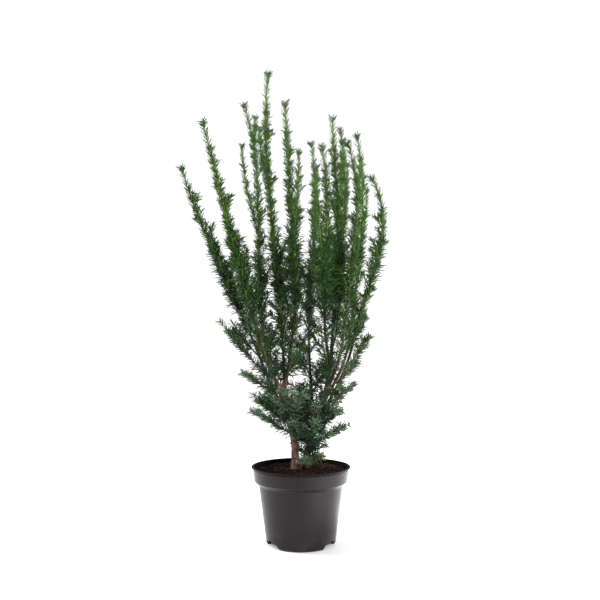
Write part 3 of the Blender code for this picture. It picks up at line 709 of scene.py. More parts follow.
def make_bark(stem):
    """The bark of a stem and all its boughs as one closed skin, raised vertex by vertex."""
    chosen = [name for name in limbs if carried_by[name] == stem]
    lines = []
    for name in chosen:
        line, radii = limbs[name]
        radii = swollen(line, radii, name != stem)
        if name == stem:
            line = [line[0] - UP * FOOT_DEPTH, *line]
            radii = [radii[0] * FOOT_SWELL, *radii]
        lines.append((line, radii, 0))
    piece = add_piece(stem + "_wood", tubes(stem + "_wood", lines, LIMB_SIDES, []), [])
    skin = piece.modifiers.new("skin", "REMESH")
    skin.mode = "VOXEL"
    skin.voxel_size = BARK_GRID
    skin.use_smooth_shade = True
    settle(piece)
    bm = bmesh.new()
    bm.from_mesh(piece.data)
    for _ in range(BARK_SMOOTHINGS):
        bmesh.ops.smooth_vert(bm, verts=bm.verts, factor=0.5, use_axis_x=True, use_axis_y=True,
                              use_axis_z=True)
    bm.normal_update()
    spots = [(name, i) for name in chosen for i in range(len(limbs[name][0]))]
    nearest = nearest_among([limbs[name][0][i] for name, i in spots])
    turned_frames = {name: frames(limbs[name][0]) for name in chosen}
    moves = []
    for vert in bm.verts:
        name, i = spots[nearest.find(vert.co)[1]]
        x, y, way = turned_frames[name][i]
        out = vert.co - limbs[name][0][i]
        along = i * LINE_STEP + out.dot(way)
        shift = LIMB_SHIFT * len(name)
        raised = bark_relief(out.dot(x) + shift, out.dot(y), along, limbs[name][1][i])
        moves.append(vert.normal * raised)
    for vert, move in zip(bm.verts, moves):
        vert.co += move
    bm.to_mesh(piece.data)
    bm.free()
    return piece


bark_skin, tree, shader = new_material("flaking_bark", BARK_RED, 0.85, 0.2)
place = pattern_space(tree)
long_way = pattern_space(tree, (1, 1, 0.22))
youth = ramp(tree, height_of(tree, place), BARK_OLD_TOP, BARK_YOUNG_FOOT)
flakes = ramp(tree, grain(tree, long_way, scale=230, detail=5, rough=0.6), 0.44, 0.60)
patches = grain(tree, pattern_space(tree, (1, 1, 0.35)), scale=120, detail=3, rough=0.5)
fresh = ramp(tree, patches, 0.60, 0.68)
old_bark = blend(tree, fresh, blend(tree, flakes, BARK_PURPLE, BARK_RED), BARK_FRESH)
young_bark = blend(tree, flakes, BARK_BROWN, BARK_OLIVE)
tree.links.new(blend(tree, youth, old_bark, young_bark), shader.inputs["Base Color"])
tree.links.new(ramp(tree, flakes, 0, 1, 0.92, 0.72), shader.inputs["Roughness"])
bump(tree, shader, grain(tree, long_way, scale=700, detail=6, rough=0.65), 0.35 * MM, 0.8)
for stem in STEMS:
    wood = make_bark(stem)
    wood.data.materials.append(bark_skin)
    boughs = ["bough_" + name for name in BRANCHES if carried_by[name] == stem]
    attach(wood, "root")
    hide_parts(stem, *boughs)


# The plan of the foliage: each limb runs on as a leader with upright offshoots and short side shoots, and
# sprays stand on the limbs below. Low shoots grow round the limbs and the leaders' feet, and finer twigs
# fill each mass. Every shoot keeps off the limbs and out of the other masses.

OFFSHOOTS = [  # each with its leader, the height where it leaves it, and its tip, in millimetres
    ("left_back", 620, (-129, 92, 824)),
    ("left_back", 790, (-100, 84, 884)),
    ("tall", 690, (-84, -14, 826)),
    ("back", 600, (36, 122, 786)),
    ("left_front", 530, (-150, -30, 676)),
    ("front", 520, (26, -118, 700)),
    ("right_front", 520, (112, -92, 742)),
    ("right_back", 540, (142, 76, 720)),
    ("left_stem", 560, (-4, -98, 752)),
    ("right_stem", 600, (80, -84, 776)),
    ("back_right", 600, (104, 120, 790)),
    ("far_left", 500, (-186, 34, 630)),
    ("far_right", 500, (166, -6, 640)),
]
SPRAYS = {  # each with its limb, the height where it leaves it, and its tip, in millimetres
    "low_left": ("left_stem", 214, (-99, -14, 256)),
    "low_left_back": ("left_stem", 234, (-97, 38, 284)),
    "mid_left": ("far_left", 292, (-116, -18, 330)),
    "long_left": ("far_left", 330, (-162, -12, 432)),
    "upper_left": ("far_left", 362, (-142, 46, 430)),
    "low_right": ("right_stem", 186, (95, -22, 229)),
    "low_right_back": ("right_stem", 212, (76, 52, 258)),
    "mid_right": ("far_right", 270, (94, -50, 306)),
    "right_side": ("right_back", 306, (116, 20, 350)),
    "long_right": ("far_right", 340, (134, -38, 402)),
    "upper_right": ("right_back", 362, (126, 56, 456)),
    "low_front": ("left_stem", 196, (8, -58, 222)),
    "front_left": ("left_stem", 246, (-16, -84, 300)),
    "front_mid": ("left_stem", 318, (-6, -72, 402)),
    "front_high": ("left_stem", 372, (-42, -84, 470)),
    "front_right": ("right_stem", 330, (32, -78, 436)),
    "front_far_right": ("right_front", 352, (90, -90, 456)),
    "left_low_front": ("left_front", 346, (-86, -80, 440)),
    "back_low": ("left_stem", 226, (-26, 82, 272)),
    "back_left": ("left_back", 336, (-68, 88, 428)),
    "back_mid": ("back", 312, (-4, 92, 410)),
    "back_right_low": ("back", 288, (62, 84, 352)),
    "foot_tuft": ("right_stem", 156, (18, -30, 163)),
}
CLEAR = 0.3 * MM
SHOOT_STEP = 20 * MM
SIDE_FOOT_POINTS = 3
TRIES = 6
OFFSHOOT_SPREAD = 1.5
SPRAY_SPREAD = 1.4
LEADER_SIDES = 8
LEADER_SIDES_SPAN = (0.05, 0.72)
LEADER_SIDE_LENGTHS = (76 * MM, 26 * MM)
LEADER_SIDE_ANGLE = math.radians(31)
LEADER_SIDE_LIFT = 0.5
OUTWARD_LOSS = 0.75  # the share of its length that a side shoot loses where it points out of the crown
SPRAY_SIDES = 4
SPRAY_SIDES_SPAN = (0.25, 0.72)
SPRAY_SIDE_SHARE = 0.6
SPRAY_SIDE_ANGLE = math.radians(42)
SPRAY_SIDE_LIFT = 0.15
GOLDEN_ANGLE = math.radians(137.5)
TWIGS = {  # on each kind of shoot: where they start and end, their spacing, both end lengths and their lean
    "leader": (0.01, 0.86, 6 * MM, 44 * MM, 14 * MM, math.radians(25)),
    "offshoot": (0.06, 0.80, 9 * MM, 32 * MM, 12 * MM, math.radians(24)),
    "side": (0.18, 0.84, 11 * MM, 26 * MM, 13 * MM, math.radians(32)),
    "spray": (0.15, 0.80, 12 * MM, 30 * MM, 15 * MM, math.radians(46)),
    "low": (0.25, 0.80, 14 * MM, 26 * MM, 15 * MM, math.radians(46)),
}
FULLNESS = {  # limbs whose leaders carry fewer twigs and low shoots than the others
    "right_front": 0.4,
    "right_back": 0.3,
    "far_right": 0.4,
    "back_right": 0.35,
    "left_back": 0.7,
    "back": 0.7,
}
LOW_SHOOTS = [  # by height: how far apart they stand and how long they are, in millimetres, and their lean
    (150, 2.6, 68, 64),
    (250, 2.8, 82, 58),
    (310, 8, 56, 50),
    (425, 22, 36, 38),
    (465, 4, 48, 34),
    (540, 4.6, 44, 28),
    (590, 16, 34, 26),
]
LOW_SPREAD = (0.5, 1.1)
LOW_LIFT = 0.35
LOW_OUTWARD_LOSS = 0.5
BARE_WOOD = {"left_stem": ((0, 204 * MM), (262 * MM, 318 * MM)), "right_stem": ((262 * MM, 318 * MM),)}
BARE_ROOM = 8 * MM
SIDE_ROOMS = (5 * MM, 8 * MM)  # how far side shoots keep from the limbs and from the other masses
LOW_ROOMS = (2 * MM, 4 * MM)
TWIG_ROOMS = (2 * MM, 3.5 * MM)
SHORTEST_CARRIER = 26 * MM
LONGEST_TWIG = 0.55  # of the shoot that carries it
TWIG_SPREAD = (0.75, 1.15)
TWIG_LIFT = {"leader": 0.4, "offshoot": 0.4, "side": 0.2, "spray": 0.2, "low": 0.2}
SIDE_SPREAD = (0.85, 1.1)
SIDE_TAPER = 0.7


class Mass:
    """A mass of foliage with its own number. A spray is flat. Each of its shoots is a kind and a line."""

    def __init__(self, owner, line, flat):
        self.owner = owner
        self.flat = flat
        self.line = line
        self.shoots = []


def is_bare(limb, height):
    """True where no leafy shoots hide the bark of a limb."""
    return any(low < height < high for low, high in BARE_WOOD.get(limb, ()))


class Crown:
    """Where the limbs and the shoots of every mass lie, so that each keeps to its own space."""

    def __init__(self):
        self.limb_points = np.array([tuple(p) for line, _ in limbs.values() for p in line])
        self.limb_radii = np.array([
            radius + BARE_ROOM * is_bare(name, point.z)
            for name, (line, radii) in limbs.items()
            for point, radius in zip(line, radii)
        ])
        self.points = np.zeros((0, 3))
        self.owners = np.zeros(0, int)

    def add(self, owner, line):
        self.points = np.vstack([self.points, [tuple(point) for point in line]])
        self.owners = np.concatenate([self.owners, np.full(len(line), owner)])

    def limb_gap(self, point):
        return float((np.linalg.norm(self.limb_points - point, axis=1) - self.limb_radii).min())

    def other_gap(self, owner, point):
        return float(np.linalg.norm(self.points[self.owners != owner] - point, axis=1).min())

    def nearest_owner(self, point):
        return int(self.owners[np.linalg.norm(self.points - point, axis=1).argmin()])

    def fits(self, owner, line, limb_room, shoot_room):
        """True for a shoot that stays clear of the limbs and of the other masses."""
        return all(
            self.limb_gap(point) > limb_room and self.other_gap(owner, point) > shoot_room
            for point in line[SIDE_FOOT_POINTS:]
        )


def levels(line, step):
    """The numbers of the line's points that lie about step apart, from its first point to its last."""
    count = max(1, round((len(line) - 1) * LINE_STEP / step))
    return [round(i) for i in np.linspace(0, len(line) - 1, count + 1)]


def forks(line):
    """Where side shoots can start on a shoot, and the way it runs there."""
    rings = [line[i] for i in levels(line, SHOOT_STEP)]
    return [((low + high) / 2, (high - low).normalized()) for low, high in zip(rings, rings[1:])]


def side_shoot(foot, way, length, lift):
    """A side shoot that starts along way and bends upwards by lift."""
    end_way = (way + UP * lift).normalized()
    tip = foot + (way + end_way).normalized() * length
    return smooth_line([foot, tip], first=way, last=end_way)


def kept(foot, out, loss=OUTWARD_LOSS):
    """The share of its length that a side shoot keeps where it points out of the crown."""
    outwards = Vector((foot.x, foot.y, 0)).normalized()
    return 1 - loss * max(0, out.dot(outwards))


def leader_sides(line, rng, fits):
    """Side shoots all round a leader's lower part, shorter higher up."""
    places = forks(line)
    turn = rng.uniform(0, math.tau)
    for rise in np.linspace(0, 1, LEADER_SIDES):
        share = np.interp(rise, (0, 1), LEADER_SIDES_SPAN)
        foot, way = places[round(float(share) * len(places))]
        length = float(np.interp(rise**SIDE_TAPER, (0, 1), LEADER_SIDE_LENGTHS)) * rng.uniform(*SIDE_SPREAD)
        for _ in range(TRIES):
            turn += GOLDEN_ANGLE
            out = Matrix.Rotation(turn, 3, way) @ way.orthogonal().normalized()
            aim = way * math.cos(LEADER_SIDE_ANGLE) + out * math.sin(LEADER_SIDE_ANGLE)
            shoot = side_shoot(foot, aim, max(length * kept(foot, out), SHOOT_STEP), LEADER_SIDE_LIFT)
            if fits(shoot):
                yield shoot
                break


def spray_sides(line, rng, fits):
    """Side shoots to the left and right of a spray, nearly level with it."""
    places = forks(line)
    length = (line[-1] - line[0]).length
    for k, share in enumerate(np.linspace(*SPRAY_SIDES_SPAN, SPRAY_SIDES)):
        foot, way = places[round(float(share) * (len(places) - 1))]
        across = way.cross(UP).normalized() * (1 if k % 2 else -1)
        aim = way * math.cos(SPRAY_SIDE_ANGLE) + across * math.sin(SPRAY_SIDE_ANGLE)
        aim = (aim + UP * rng.uniform(-0.1, 0.25)).normalized()
        reach = length * SPRAY_SIDE_SHARE * (1.1 - float(share)) * rng.uniform(*SIDE_SPREAD)
        shoot = side_shoot(foot, aim, max(reach, 1.5 * SHOOT_STEP), SPRAY_SIDE_LIFT)
        if fits(shoot):
            yield shoot


def finer_twigs(line, kind, fullness, rng):
    """Twigs all round a leader, and to both sides of other shoots. They are shorter towards its tip."""
    length = (len(line) - 1) * LINE_STEP
    low, high, spacing, *lengths, lean = TWIGS[kind]
    count = round(length * (high - low) / spacing * fullness)
    if length < SHORTEST_CARRIER or not count:
        return
    ways = directions(line)
    turn = rng.uniform(0, math.tau)
    for k in range(count):
        share = low + (k + rng.uniform(0.2, 0.8)) / count * (high - low)
        i = min(len(line) - 2, max(1, round(share * (len(line) - 1))))
        turn += GOLDEN_ANGLE
        if kind in ("leader", "offshoot"):
            out = Matrix.Rotation(turn, 3, ways[i]) @ ways[i].orthogonal().normalized()
        else:
            out = ways[i].cross(UP).normalized() * (1 if k % 2 else -1) + UP * rng.uniform(-0.2, 0.3)
        aim = (ways[i] * math.cos(lean) + out * math.sin(lean)).normalized()
        reach = float(np.interp(share, (low, high), lengths)) * rng.uniform(*TWIG_SPREAD)
        reach = min(reach * kept(line[i], out), LONGEST_TWIG * length)
        yield side_shoot(line[i], aim, reach, TWIG_LIFT[kind])


masses = {}
crown = Crown()
for name, line in leaders.items():
    foot = line[0] + directions(line)[0] * CLEAR
    masses["foliage_" + name] = Mass(len(masses), [foot, *line[1:]], False)
for name, (limb, height, tip) in SPRAYS.items():
    limb_line, _ = limbs[limb]
    foot = limb_line[point_at(limb_line, height * MM)]
    chord = Vector(tip) * MM - foot
    line = smooth_line([foot, foot + chord], first=flatter(chord, SPRAY_SPREAD), last=chord)
    masses["spray_" + name] = Mass(len(masses), line, True)
for mass in masses.values():
    mass.shoots.append(("spray" if mass.flat else "leader", mass.line))
    crown.add(mass.owner, mass.line)
for leader, height, tip in OFFSHOOTS:
    mass = masses["foliage_" + leader]
    foot, _ = min(forks(mass.line), key=lambda fork: abs(fork[0].z - height * MM))
    chord = Vector(tip) * MM - foot
    shoot = smooth_line([foot, foot + chord], first=flatter(chord, OFFSHOOT_SPREAD), last=UP)
    mass.shoots.append(("offshoot", shoot))
    crown.add(mass.owner, shoot)
all_masses = list(masses.values())
for name, mass in masses.items():
    rng = random.Random(f"{SEED} {name}")
    grow = spray_sides if mass.flat else leader_sides
    for shoot in grow(mass.line, rng, lambda made: crown.fits(mass.owner, made, *SIDE_ROOMS)):
        mass.shoots.append(("side", shoot))
        crown.add(mass.owner, shoot)
low_heights, low_spacings, low_lengths = ([x * MM for x in column] for column in list(zip(*LOW_SHOOTS))[:3])
low_leans = [math.radians(row[3]) for row in LOW_SHOOTS]
for name, (limb_line, _) in limbs.items():
    rng = random.Random(f"{SEED} low {name}")
    line = limb_line + leaders[name][1:]
    ways = directions(line)
    turn = rng.uniform(0, math.tau)
    for i in range(max(2, point_at(line, low_heights[0])), point_at(line, low_heights[-1])):
        if is_bare(name, line[i].z):
            continue
        rows = (low_spacings, low_lengths, low_leans)
        spacing, length, lean = (float(np.interp(line[i].z, low_heights, row)) for row in rows)
        due = LINE_STEP / spacing * FULLNESS.get(name, 1)
        for _ in range(int(due + rng.random())):
            for _ in range(TRIES):
                turn += GOLDEN_ANGLE
                out = Matrix.Rotation(turn, 3, ways[i]) @ ways[i].orthogonal().normalized()
                aim = ways[i] * math.cos(lean) + out * math.sin(lean)
                reach = length * rng.uniform(*LOW_SPREAD) * kept(line[i], out, LOW_OUTWARD_LOSS)
                shoot = side_shoot(line[i], aim, reach, LOW_LIFT)
                owner = crown.nearest_owner(shoot[-1])
                if crown.fits(owner, shoot, *LOW_ROOMS):
                    all_masses[owner].shoots.append(("low", shoot))
                    crown.add(owner, shoot)
                    break
for name, mass in masses.items():
    rng = random.Random(f"{SEED} twigs {name}")
    fullness = FULLNESS.get(name.removeprefix("foliage_"), 1)
    for kind, line in list(mass.shoots):
        for twig in finer_twigs(line, kind, fullness, rng):
            if crown.fits(mass.owner, twig, *TWIG_ROOMS):
                mass.shoots.append(("twig", twig))
                crown.add(mass.owner, twig)


# The twigs: young wood inside the needles. Leaders are yellow-green towards their tips and olive lower
# down, and the lower sprays have browner wood. A shoot grows out of its carrier, and a leader's foot is
# sunk into its limb.

SHOOT_RADII = {
    "leader": (2.5 * MM, 1.0 * MM),
    "offshoot": (1.6 * MM, 0.9 * MM),
    "spray": (1.8 * MM, 0.7 * MM),
    "side": (1.3 * MM, 0.6 * MM),
    "low": (1.3 * MM, 0.6 * MM),
    "twig": (0.85 * MM, 0.5 * MM),
    "tuft": (1.0 * MM, 0.5 * MM),
}
TWIG_SINK = 4 * MM
WOOD_TONES = {
    "brown_twig": (0.110, 0.062, 0.034),
    "olive_twig": (0.115, 0.125, 0.036),
    "yellow_green_twig": (0.250, 0.350, 0.065),
}
TWIG_SIDES = 1
TWIG_SHARP_ANGLE = math.radians(60)
OLIVE_FROM, GREEN_FROM = 330 * MM, 480 * MM
wood_finishes = [new_material(name, colour, 0.6, 0.2)[0] for name, colour in WOOD_TONES.items()]


def wood_number(line):
    """The tone of a shoot's wood, by how high it stands."""
    height = (line[0].z + line[-1].z) / 2
    return int(height > OLIVE_FROM) + int(height > GREEN_FROM)


for name, mass in masses.items():
    lines = []
    for kind, line in mass.shoots:
        foot_radius, tip_radius = SHOOT_RADII[kind]
        if kind == "leader":
            foot = line[0] - directions(line)[0] * TWIG_SINK
            radii = list(np.linspace(foot_radius, tip_radius, len(line) + 1))
            upper = len(line) // 2
            lines.append(([foot, *line[: upper + 1]], radii[: upper + 2], 1))
            lines.append((line[upper:], radii[upper + 1 :], 2))
        else:
            coarse = [*line[:-1:2], line[-1]]
            radii = list(np.linspace(foot_radius, tip_radius, len(coarse)))
            lines.append((coarse, radii, wood_number(line)))
    twig_mesh = tubes(name + "_twigs", lines, TWIG_SIDES, wood_finishes)
    twigs = add_piece(name + "_twigs", twig_mesh, [], TWIG_SHARP_ANGLE)
    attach(twigs, "root")
    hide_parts(name)


# The needles: flat, pointed leaves with a raised rib and a paler underside, in a spiral round the upright
# shoots, in two ranks on the sprays and in a close rosette at each tip. The top growth is fresh green, the
# lower foliage dark and bluish, the inner foliage darker with painted shade and the right side lighter with
# painted light. The low outer sprays are a lighter grey-green, partly painted light, and the foot's tuft is
# grey-green.

NEEDLE_WIDTH = 2.05 * MM
NEEDLE_RINGS = [(0.0, 0.36), (0.16, 1.0), (0.76, 0.88)]
NEEDLE_THICK = 0.32
NEEDLE_BENDS = (0.02, 0.07, 0.13)
NEEDLES = {  # on each kind of shoot: their length, lean and spacing, its bare foot and its rosette
    "leader": (16 * MM, math.radians(48), 1.25 * MM, 3 * MM, 12 * MM),
    "offshoot": (14 * MM, math.radians(45), 1.35 * MM, 5 * MM, 11 * MM),
    "side": (15 * MM, math.radians(46), 1.8 * MM, 5 * MM, 7 * MM),
    "twig": (14 * MM, math.radians(42), 1.9 * MM, 2 * MM, 4 * MM),
    "spray": (19 * MM, math.radians(69), 2.1 * MM, 6 * MM, 6 * MM),
    "low": (19 * MM, math.radians(66), 1.8 * MM, 4 * MM, 5 * MM),
    "tuft": (13 * MM, math.radians(62), 1.5 * MM, 3 * MM, 8 * MM),
}
ROLLS = {True: 0.5, False: 0.7}  # how far a needle turns on its stalk on a flat shoot and on a round one
LENGTH_SPREAD = WIDTH_SPREAD = (0.85, 1.12)
LEAN_SPREAD = (0.8, 1.2)
SPACING_SPREAD = (0.7, 1.3)
ROSETTE_SPREAD = (0.5, 1.1)
TURN_SPREAD = 0.12
LEAN_LOSS = 0.15  # how much less the needles lean at a shoot's tip
TIP_SHARE = 0.85  # how long a needle is at a shoot's tip, beside those lower down
ROSETTE_SHARE = 0.95
ROSETTE_ANGLE = math.radians(64)
ROSETTE_FIRST = 0.35  # how far the outermost needles of a rosette have turned to its angle
ROSETTE_CLOSENESS = 0.4
SPRAY_FLATNESS = 0.9
LEVEL_ENOUGH = 0.3  # a steeper shoot has no sides to part its needles to
UPRIGHT = 0.88
ROUND_FROM = 550 * MM  # above this the upright shoots are leafy all round
NEEDLE_ROOM = 1.2 * MM
OTHER_NEEDLES = 1.5 * MM
TONES = {  # each with its gloss, which is the highest on the old leathery needles
    "fresh_needle": ((0.150, 0.330, 0.028), 0.08),
    "leaf_green_needle": ((0.085, 0.230, 0.020), 0.08),
    "deep_green_needle": ((0.036, 0.140, 0.024), 0.12),
    "blue_green_needle": ((0.022, 0.100, 0.046), 0.3),
    "dark_needle": ((0.008, 0.038, 0.018), 0.3),
    "grey_green_needle": ((0.150, 0.265, 0.155), 0.6),
    "yellow_needle": ((0.330, 0.380, 0.150), 0.2),
    "needle_underside": ((0.080, 0.165, 0.055), 0.15),
}
DARKEST = list(TONES).index("dark_needle")
GREY_GREEN = list(TONES).index("grey_green_needle")
YELLOW = list(TONES).index("yellow_needle")
TUFT_YELLOWS = 0.35
# the grey-green on the outermost low shoots is partly their own colour and partly painted light where light
# catches them
GREY_TO = 350 * MM  # below this the shoots that reach out furthest are mostly grey-green
GREY_SPAN, GREY_SHARES = (40 * MM, 90 * MM), (0.05, 0.9)
TIP_DARKER = 2.0
INNER_PAINTED_SHADE, INNER_TO = 1.4, 55 * MM  # painted shade: the needles low down near the stems are darker
RIGHT_PAINTED_LIGHT, RIGHT_LIGHT_SPAN = 0.9, (15 * MM, 90 * MM)  # painted light: the needles on the right side are lighter
TOP_TONES_FROM, LOW_TONES_TO = 670 * MM, 440 * MM
FIRST_TONE, TONE_SPAN = 0.4, 2.6
AGES = (-0.1, 1.1)
TONE_SPREAD = 0.35
MOOD, MOOD_SPREAD = 3, 0.14  # whole shoots are a little fresher or older than their neighbours
NEEDLE_ROUGHNESS = 0.42
TWIG_BUD = 0.75  # how large the bud at a twig's tip is, beside the others
needle_finishes = [
    new_material(name, colour, NEEDLE_ROUGHNESS, gloss)[0] for name, (colour, gloss) in TONES.items()
]


def needle_pattern(bend):
    """One needle along Z, 1 long and 1 wide, its ribbed upper face towards +Y and its tip bent that way."""
    bm = bmesh.new()
    made = bmesh.ops.create_circle(bm, cap_ends=True, segments=3, radius=1)
    ring = made["verts"]
    face = ring[0].link_faces[0]
    for vert, corner in zip(ring, ((0, NEEDLE_THICK), (-0.5, 0), (0.5, 0))):
        vert.co = (corner[0] * NEEDLE_RINGS[0][1], corner[1] * NEEDLE_RINGS[0][1], 0)
    for (low, narrow), (high, wide) in zip(NEEDLE_RINGS, NEEDLE_RINGS[1:]):
        face = bmesh.ops.extrude_discrete_faces(bm, faces=[face])["faces"][0]
        grown = wide / narrow
        bmesh.ops.scale(bm, vec=(grown, grown, 1), verts=face.verts)
        bmesh.ops.translate(bm, vec=(0, 0, high - low), verts=face.verts)
    face = bmesh.ops.extrude_discrete_faces(bm, faces=[face])["faces"][0]
    bmesh.ops.pointmerge(bm, verts=face.verts[:], merge_co=(0, 0, 1))
    bmesh.ops.pointmerge(bm, verts=[vert for vert in bm.verts if vert.co.z == 0], merge_co=(0, 0, 0))
    for vert in bm.verts:
        vert.co.y += bend * vert.co.z**2 / (NEEDLE_WIDTH / (16 * MM))
    bmesh.ops.recalc_face_normals(bm, faces=bm.faces)
    return as_pattern(bm, underside=True)


needle_patterns = [needle_pattern(bend) for bend in NEEDLE_BENDS]


def tone_numbers(places, rng):
    """The needles' tones: fresh high up, dark low down and at the tips, with other tones among them."""
    mood = rng.gauss(0, MOOD_SPREAD)
    # partly painted light: the outermost low shoots take the lighter grey-green tone
    if places and places[-1][0].z < GREY_TO:
        outwards = math.hypot(places[-1][0].x, places[-1][0].y)
        if rng.random() < np.interp(outwards, GREY_SPAN, GREY_SHARES):
            return [GREY_GREEN for _ in places]
    numbers = []
    for root, _, _, _, at_tip in places:
        age = (TOP_TONES_FROM - root.z) / (TOP_TONES_FROM - LOW_TONES_TO)
        age = min(AGES[1], max(AGES[0], age))
        # painted shade: needles low down near the stems are darker
        inner = max(0, 1 - math.hypot(root.x, root.y) / INNER_TO) * max(0, age)
        # painted light: needles on the right are lighter
        right_light = float(np.interp(root.x, RIGHT_LIGHT_SPAN, (0, RIGHT_PAINTED_LIGHT))) * max(0, age)
        step = FIRST_TONE + TONE_SPAN * age + MOOD * mood + rng.gauss(0, TONE_SPREAD)
        step += TIP_DARKER * at_tip + INNER_PAINTED_SHADE * inner - right_light
        numbers.append(min(DARKEST, max(0, round(step))))
    return numbers


def needle_places(kind, line, flat, rng):
    """Each needle's root, direction, upper side and length, and whether it is at the shoot's tip."""
    reach, angle, spacing, bare, rosette = NEEDLES[kind]
    total = (len(line) - 1) * LINE_STEP
    marks = np.arange(len(line)) * LINE_STEP
    axes = [np.array([tuple(f[k]) for f in frames(line)]) for k in range(3)]
    spine = np.array([tuple(p) for p in line])
    radii = np.linspace(*SHOOT_RADII[kind], len(line))
    turn = rng.uniform(0, math.tau)
    s = bare
    made = []
    while s < total:
        x, y, way = (
            Vector([np.interp(s, marks, axis[:, k]) for k in range(3)]).normalized() for axis in axes
        )
        spot = Vector([np.interp(s, marks, spine[:, k]) for k in range(3)])
        turn += GOLDEN_ANGLE + rng.gauss(0, TURN_SPREAD)
        out = x * math.cos(turn) + y * math.sin(turn)
        if flat:
            across = UP.cross(way)
            if across.length > LEVEL_ENOUGH:
                across.normalize()
                lift = (UP - way * UP.dot(way)).normalized()
                side = 1 if out.dot(across) >= 0 else -1
                out = (across * side + lift * out.dot(lift) * SPRAY_FLATNESS).normalized()
        left = total - s
        rise = s / total
        share = 1 - (1 - TIP_SHARE) * rise**2
        lean = angle * (1 - LEAN_LOSS * rise) * rng.uniform(*LEAN_SPREAD)
        if left < rosette:
            opened = ROSETTE_FIRST + (1 - ROSETTE_FIRST) * (1 - left / rosette)
            lean = lean + (ROSETTE_ANGLE - lean) * opened * rng.uniform(*ROSETTE_SPREAD)
            share *= ROSETTE_SHARE
        needle_way = way * math.cos(lean) + out * math.sin(lean)
        face_way = UP + way if flat else way
        upper = (face_way - needle_way * face_way.dot(needle_way)).normalized()
        upper = Matrix.Rotation(rng.gauss(0, ROLLS[flat]), 3, needle_way) @ upper
        length = reach * share * rng.uniform(*LENGTH_SPREAD)
        root = spot + out * float(np.interp(s, marks, radii)) * 0.5
        made.append((root, needle_way, upper, length, left < rosette))
        s += spacing * rng.uniform(*SPACING_SPREAD) * (ROSETTE_CLOSENESS if left < rosette else 1)
    return made


shoot_tree = nearest_among(crown.points)
limb_tree = nearest_among(crown.limb_points)


def has_room(owner, root, way, length):
    """True for a needle that touches no limb and no shoot of another mass."""
    for share in (0.6, 1.0):
        spot = root + way * length * share
        _, number, gap = limb_tree.find(spot)
        if gap < crown.limb_radii[number] + NEEDLE_ROOM:
            return False
        _, number, gap = shoot_tree.find(spot)
        if crown.owners[number] != owner and gap < NEEDLE_ROOM + OTHER_NEEDLES:
            return False
    return True


bud_places = []
for name, mass in masses.items():
    rng = random.Random(f"{SEED} needles {name}")
    rows = {k: ([], []) for k in range(len(NEEDLE_BENDS))}
    for kind, line in mass.shoots:
        tip_way = directions(line)[-1]
        is_round = tip_way.z > UPRIGHT and not mass.flat and line[0].z > ROUND_FROM
        flat = kind in ("spray", "side", "twig") and not is_round
        in_tuft = name == "spray_foot_tuft" and kind != "low"
        places = needle_places("tuft" if in_tuft else kind, line, flat and not in_tuft, rng)
        numbers = tone_numbers(places, rng)
        if in_tuft:
            numbers = [YELLOW if rng.random() < TUFT_YELLOWS else GREY_GREEN for _ in numbers]
        for (root, way, upper, length, _), number in zip(places, numbers):
            if not has_room(mass.owner, root, way, length):
                continue
            across = upper.cross(way)
            width = NEEDLE_WIDTH * rng.uniform(*WIDTH_SPREAD)
            columns = [across * width, upper * width, way * length, root]
            pick = rng.randrange(len(NEEDLE_BENDS))
            rows[pick][0].append(np.array([tuple(c) for c in columns]).T)
            rows[pick][1].append(number)
        bud_places.append((line[-1], tip_way, TWIG_BUD if kind == "twig" else 1.0))
    batches = [(needle_patterns[k], np.array(places), tints) for k, (places, tints) in rows.items()]
    needles = stamped(name + "_needles", batches, needle_finishes)
    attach(needles, "root")
    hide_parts(name)


# The buds: a small scaly bud closes the tip of every shoot, inside its rosette. Most are green, and some
# are brown.

BUD_WIDTH, BUD_LENGTH = 1.7 * MM, 3.2 * MM
BUD_TONES = {"green_bud": (0.16, 0.17, 0.05), "brown_bud": (0.14, 0.075, 0.035)}
BROWN_BUDS = 0.4
rng = random.Random(SEED)
bud_rows = []
for tip, way, size in bud_places:
    across = way.orthogonal().normalized()
    columns = [across * BUD_WIDTH * size, way.cross(across) * BUD_WIDTH * size, way * BUD_LENGTH * size, tip]
    bud_rows.append(np.array([tuple(c) for c in columns]).T)
bud_tints = [int(rng.random() < BROWN_BUDS) for _ in bud_rows]
bud_finishes = [new_material(name, colour, 0.5, 0.2)[0] for name, colour in BUD_TONES.items()]
bud_bm = bmesh.new()
bmesh.ops.create_uvsphere(bud_bm, u_segments=4, v_segments=2, radius=0.5)
buds = stamped("shoot_buds", [(as_pattern(bud_bm), np.array(bud_rows), bud_tints)], bud_finishes)
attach(buds, "root")


# The fallen needles: spent needles that have dropped off the twigs and lie about loose on the compost.
# They are brown, and a few are still green.

FALLEN = 45
FALLEN_SIZES = [(1.6 * MM, 2.1 * MM), (1.6 * MM, 2.1 * MM), (12 * MM, 17 * MM)]
FALLEN_TILT = 0.2
FALLEN_RISE = 1.0 * MM
FALLEN_GREENS = 0.1
SPENT_BROWN = (0.075, 0.034, 0.018)
rng = random.Random(SEED)
flat_down = np.array(Matrix.Rotation(math.radians(90), 3, "X"))
fallen_places = strewn(rng, FALLEN, COMPOST_RIM - 12 * MM, [(1, 1)] * 3, FALLEN_TILT)
for place in fallen_places:
    sizes = np.diag([rng.uniform(low, high) for low, high in FALLEN_SIZES])
    place[:, :3] = place[:, :3] @ flat_down @ sizes
    place[2, 3] = bed_height(place[0, 3], place[1, 3]) + FALLEN_RISE
spent = new_material("spent_needle", SPENT_BROWN, 0.8, 0.1)[0]
fallen_tints = [int(rng.random() < FALLEN_GREENS) for _ in fallen_places]
fallen_finishes = [spent, needle_finishes[2], spent]
fallen = stamped("fallen_needles", [(needle_patterns[1], fallen_places, fallen_tints)], fallen_finishes)
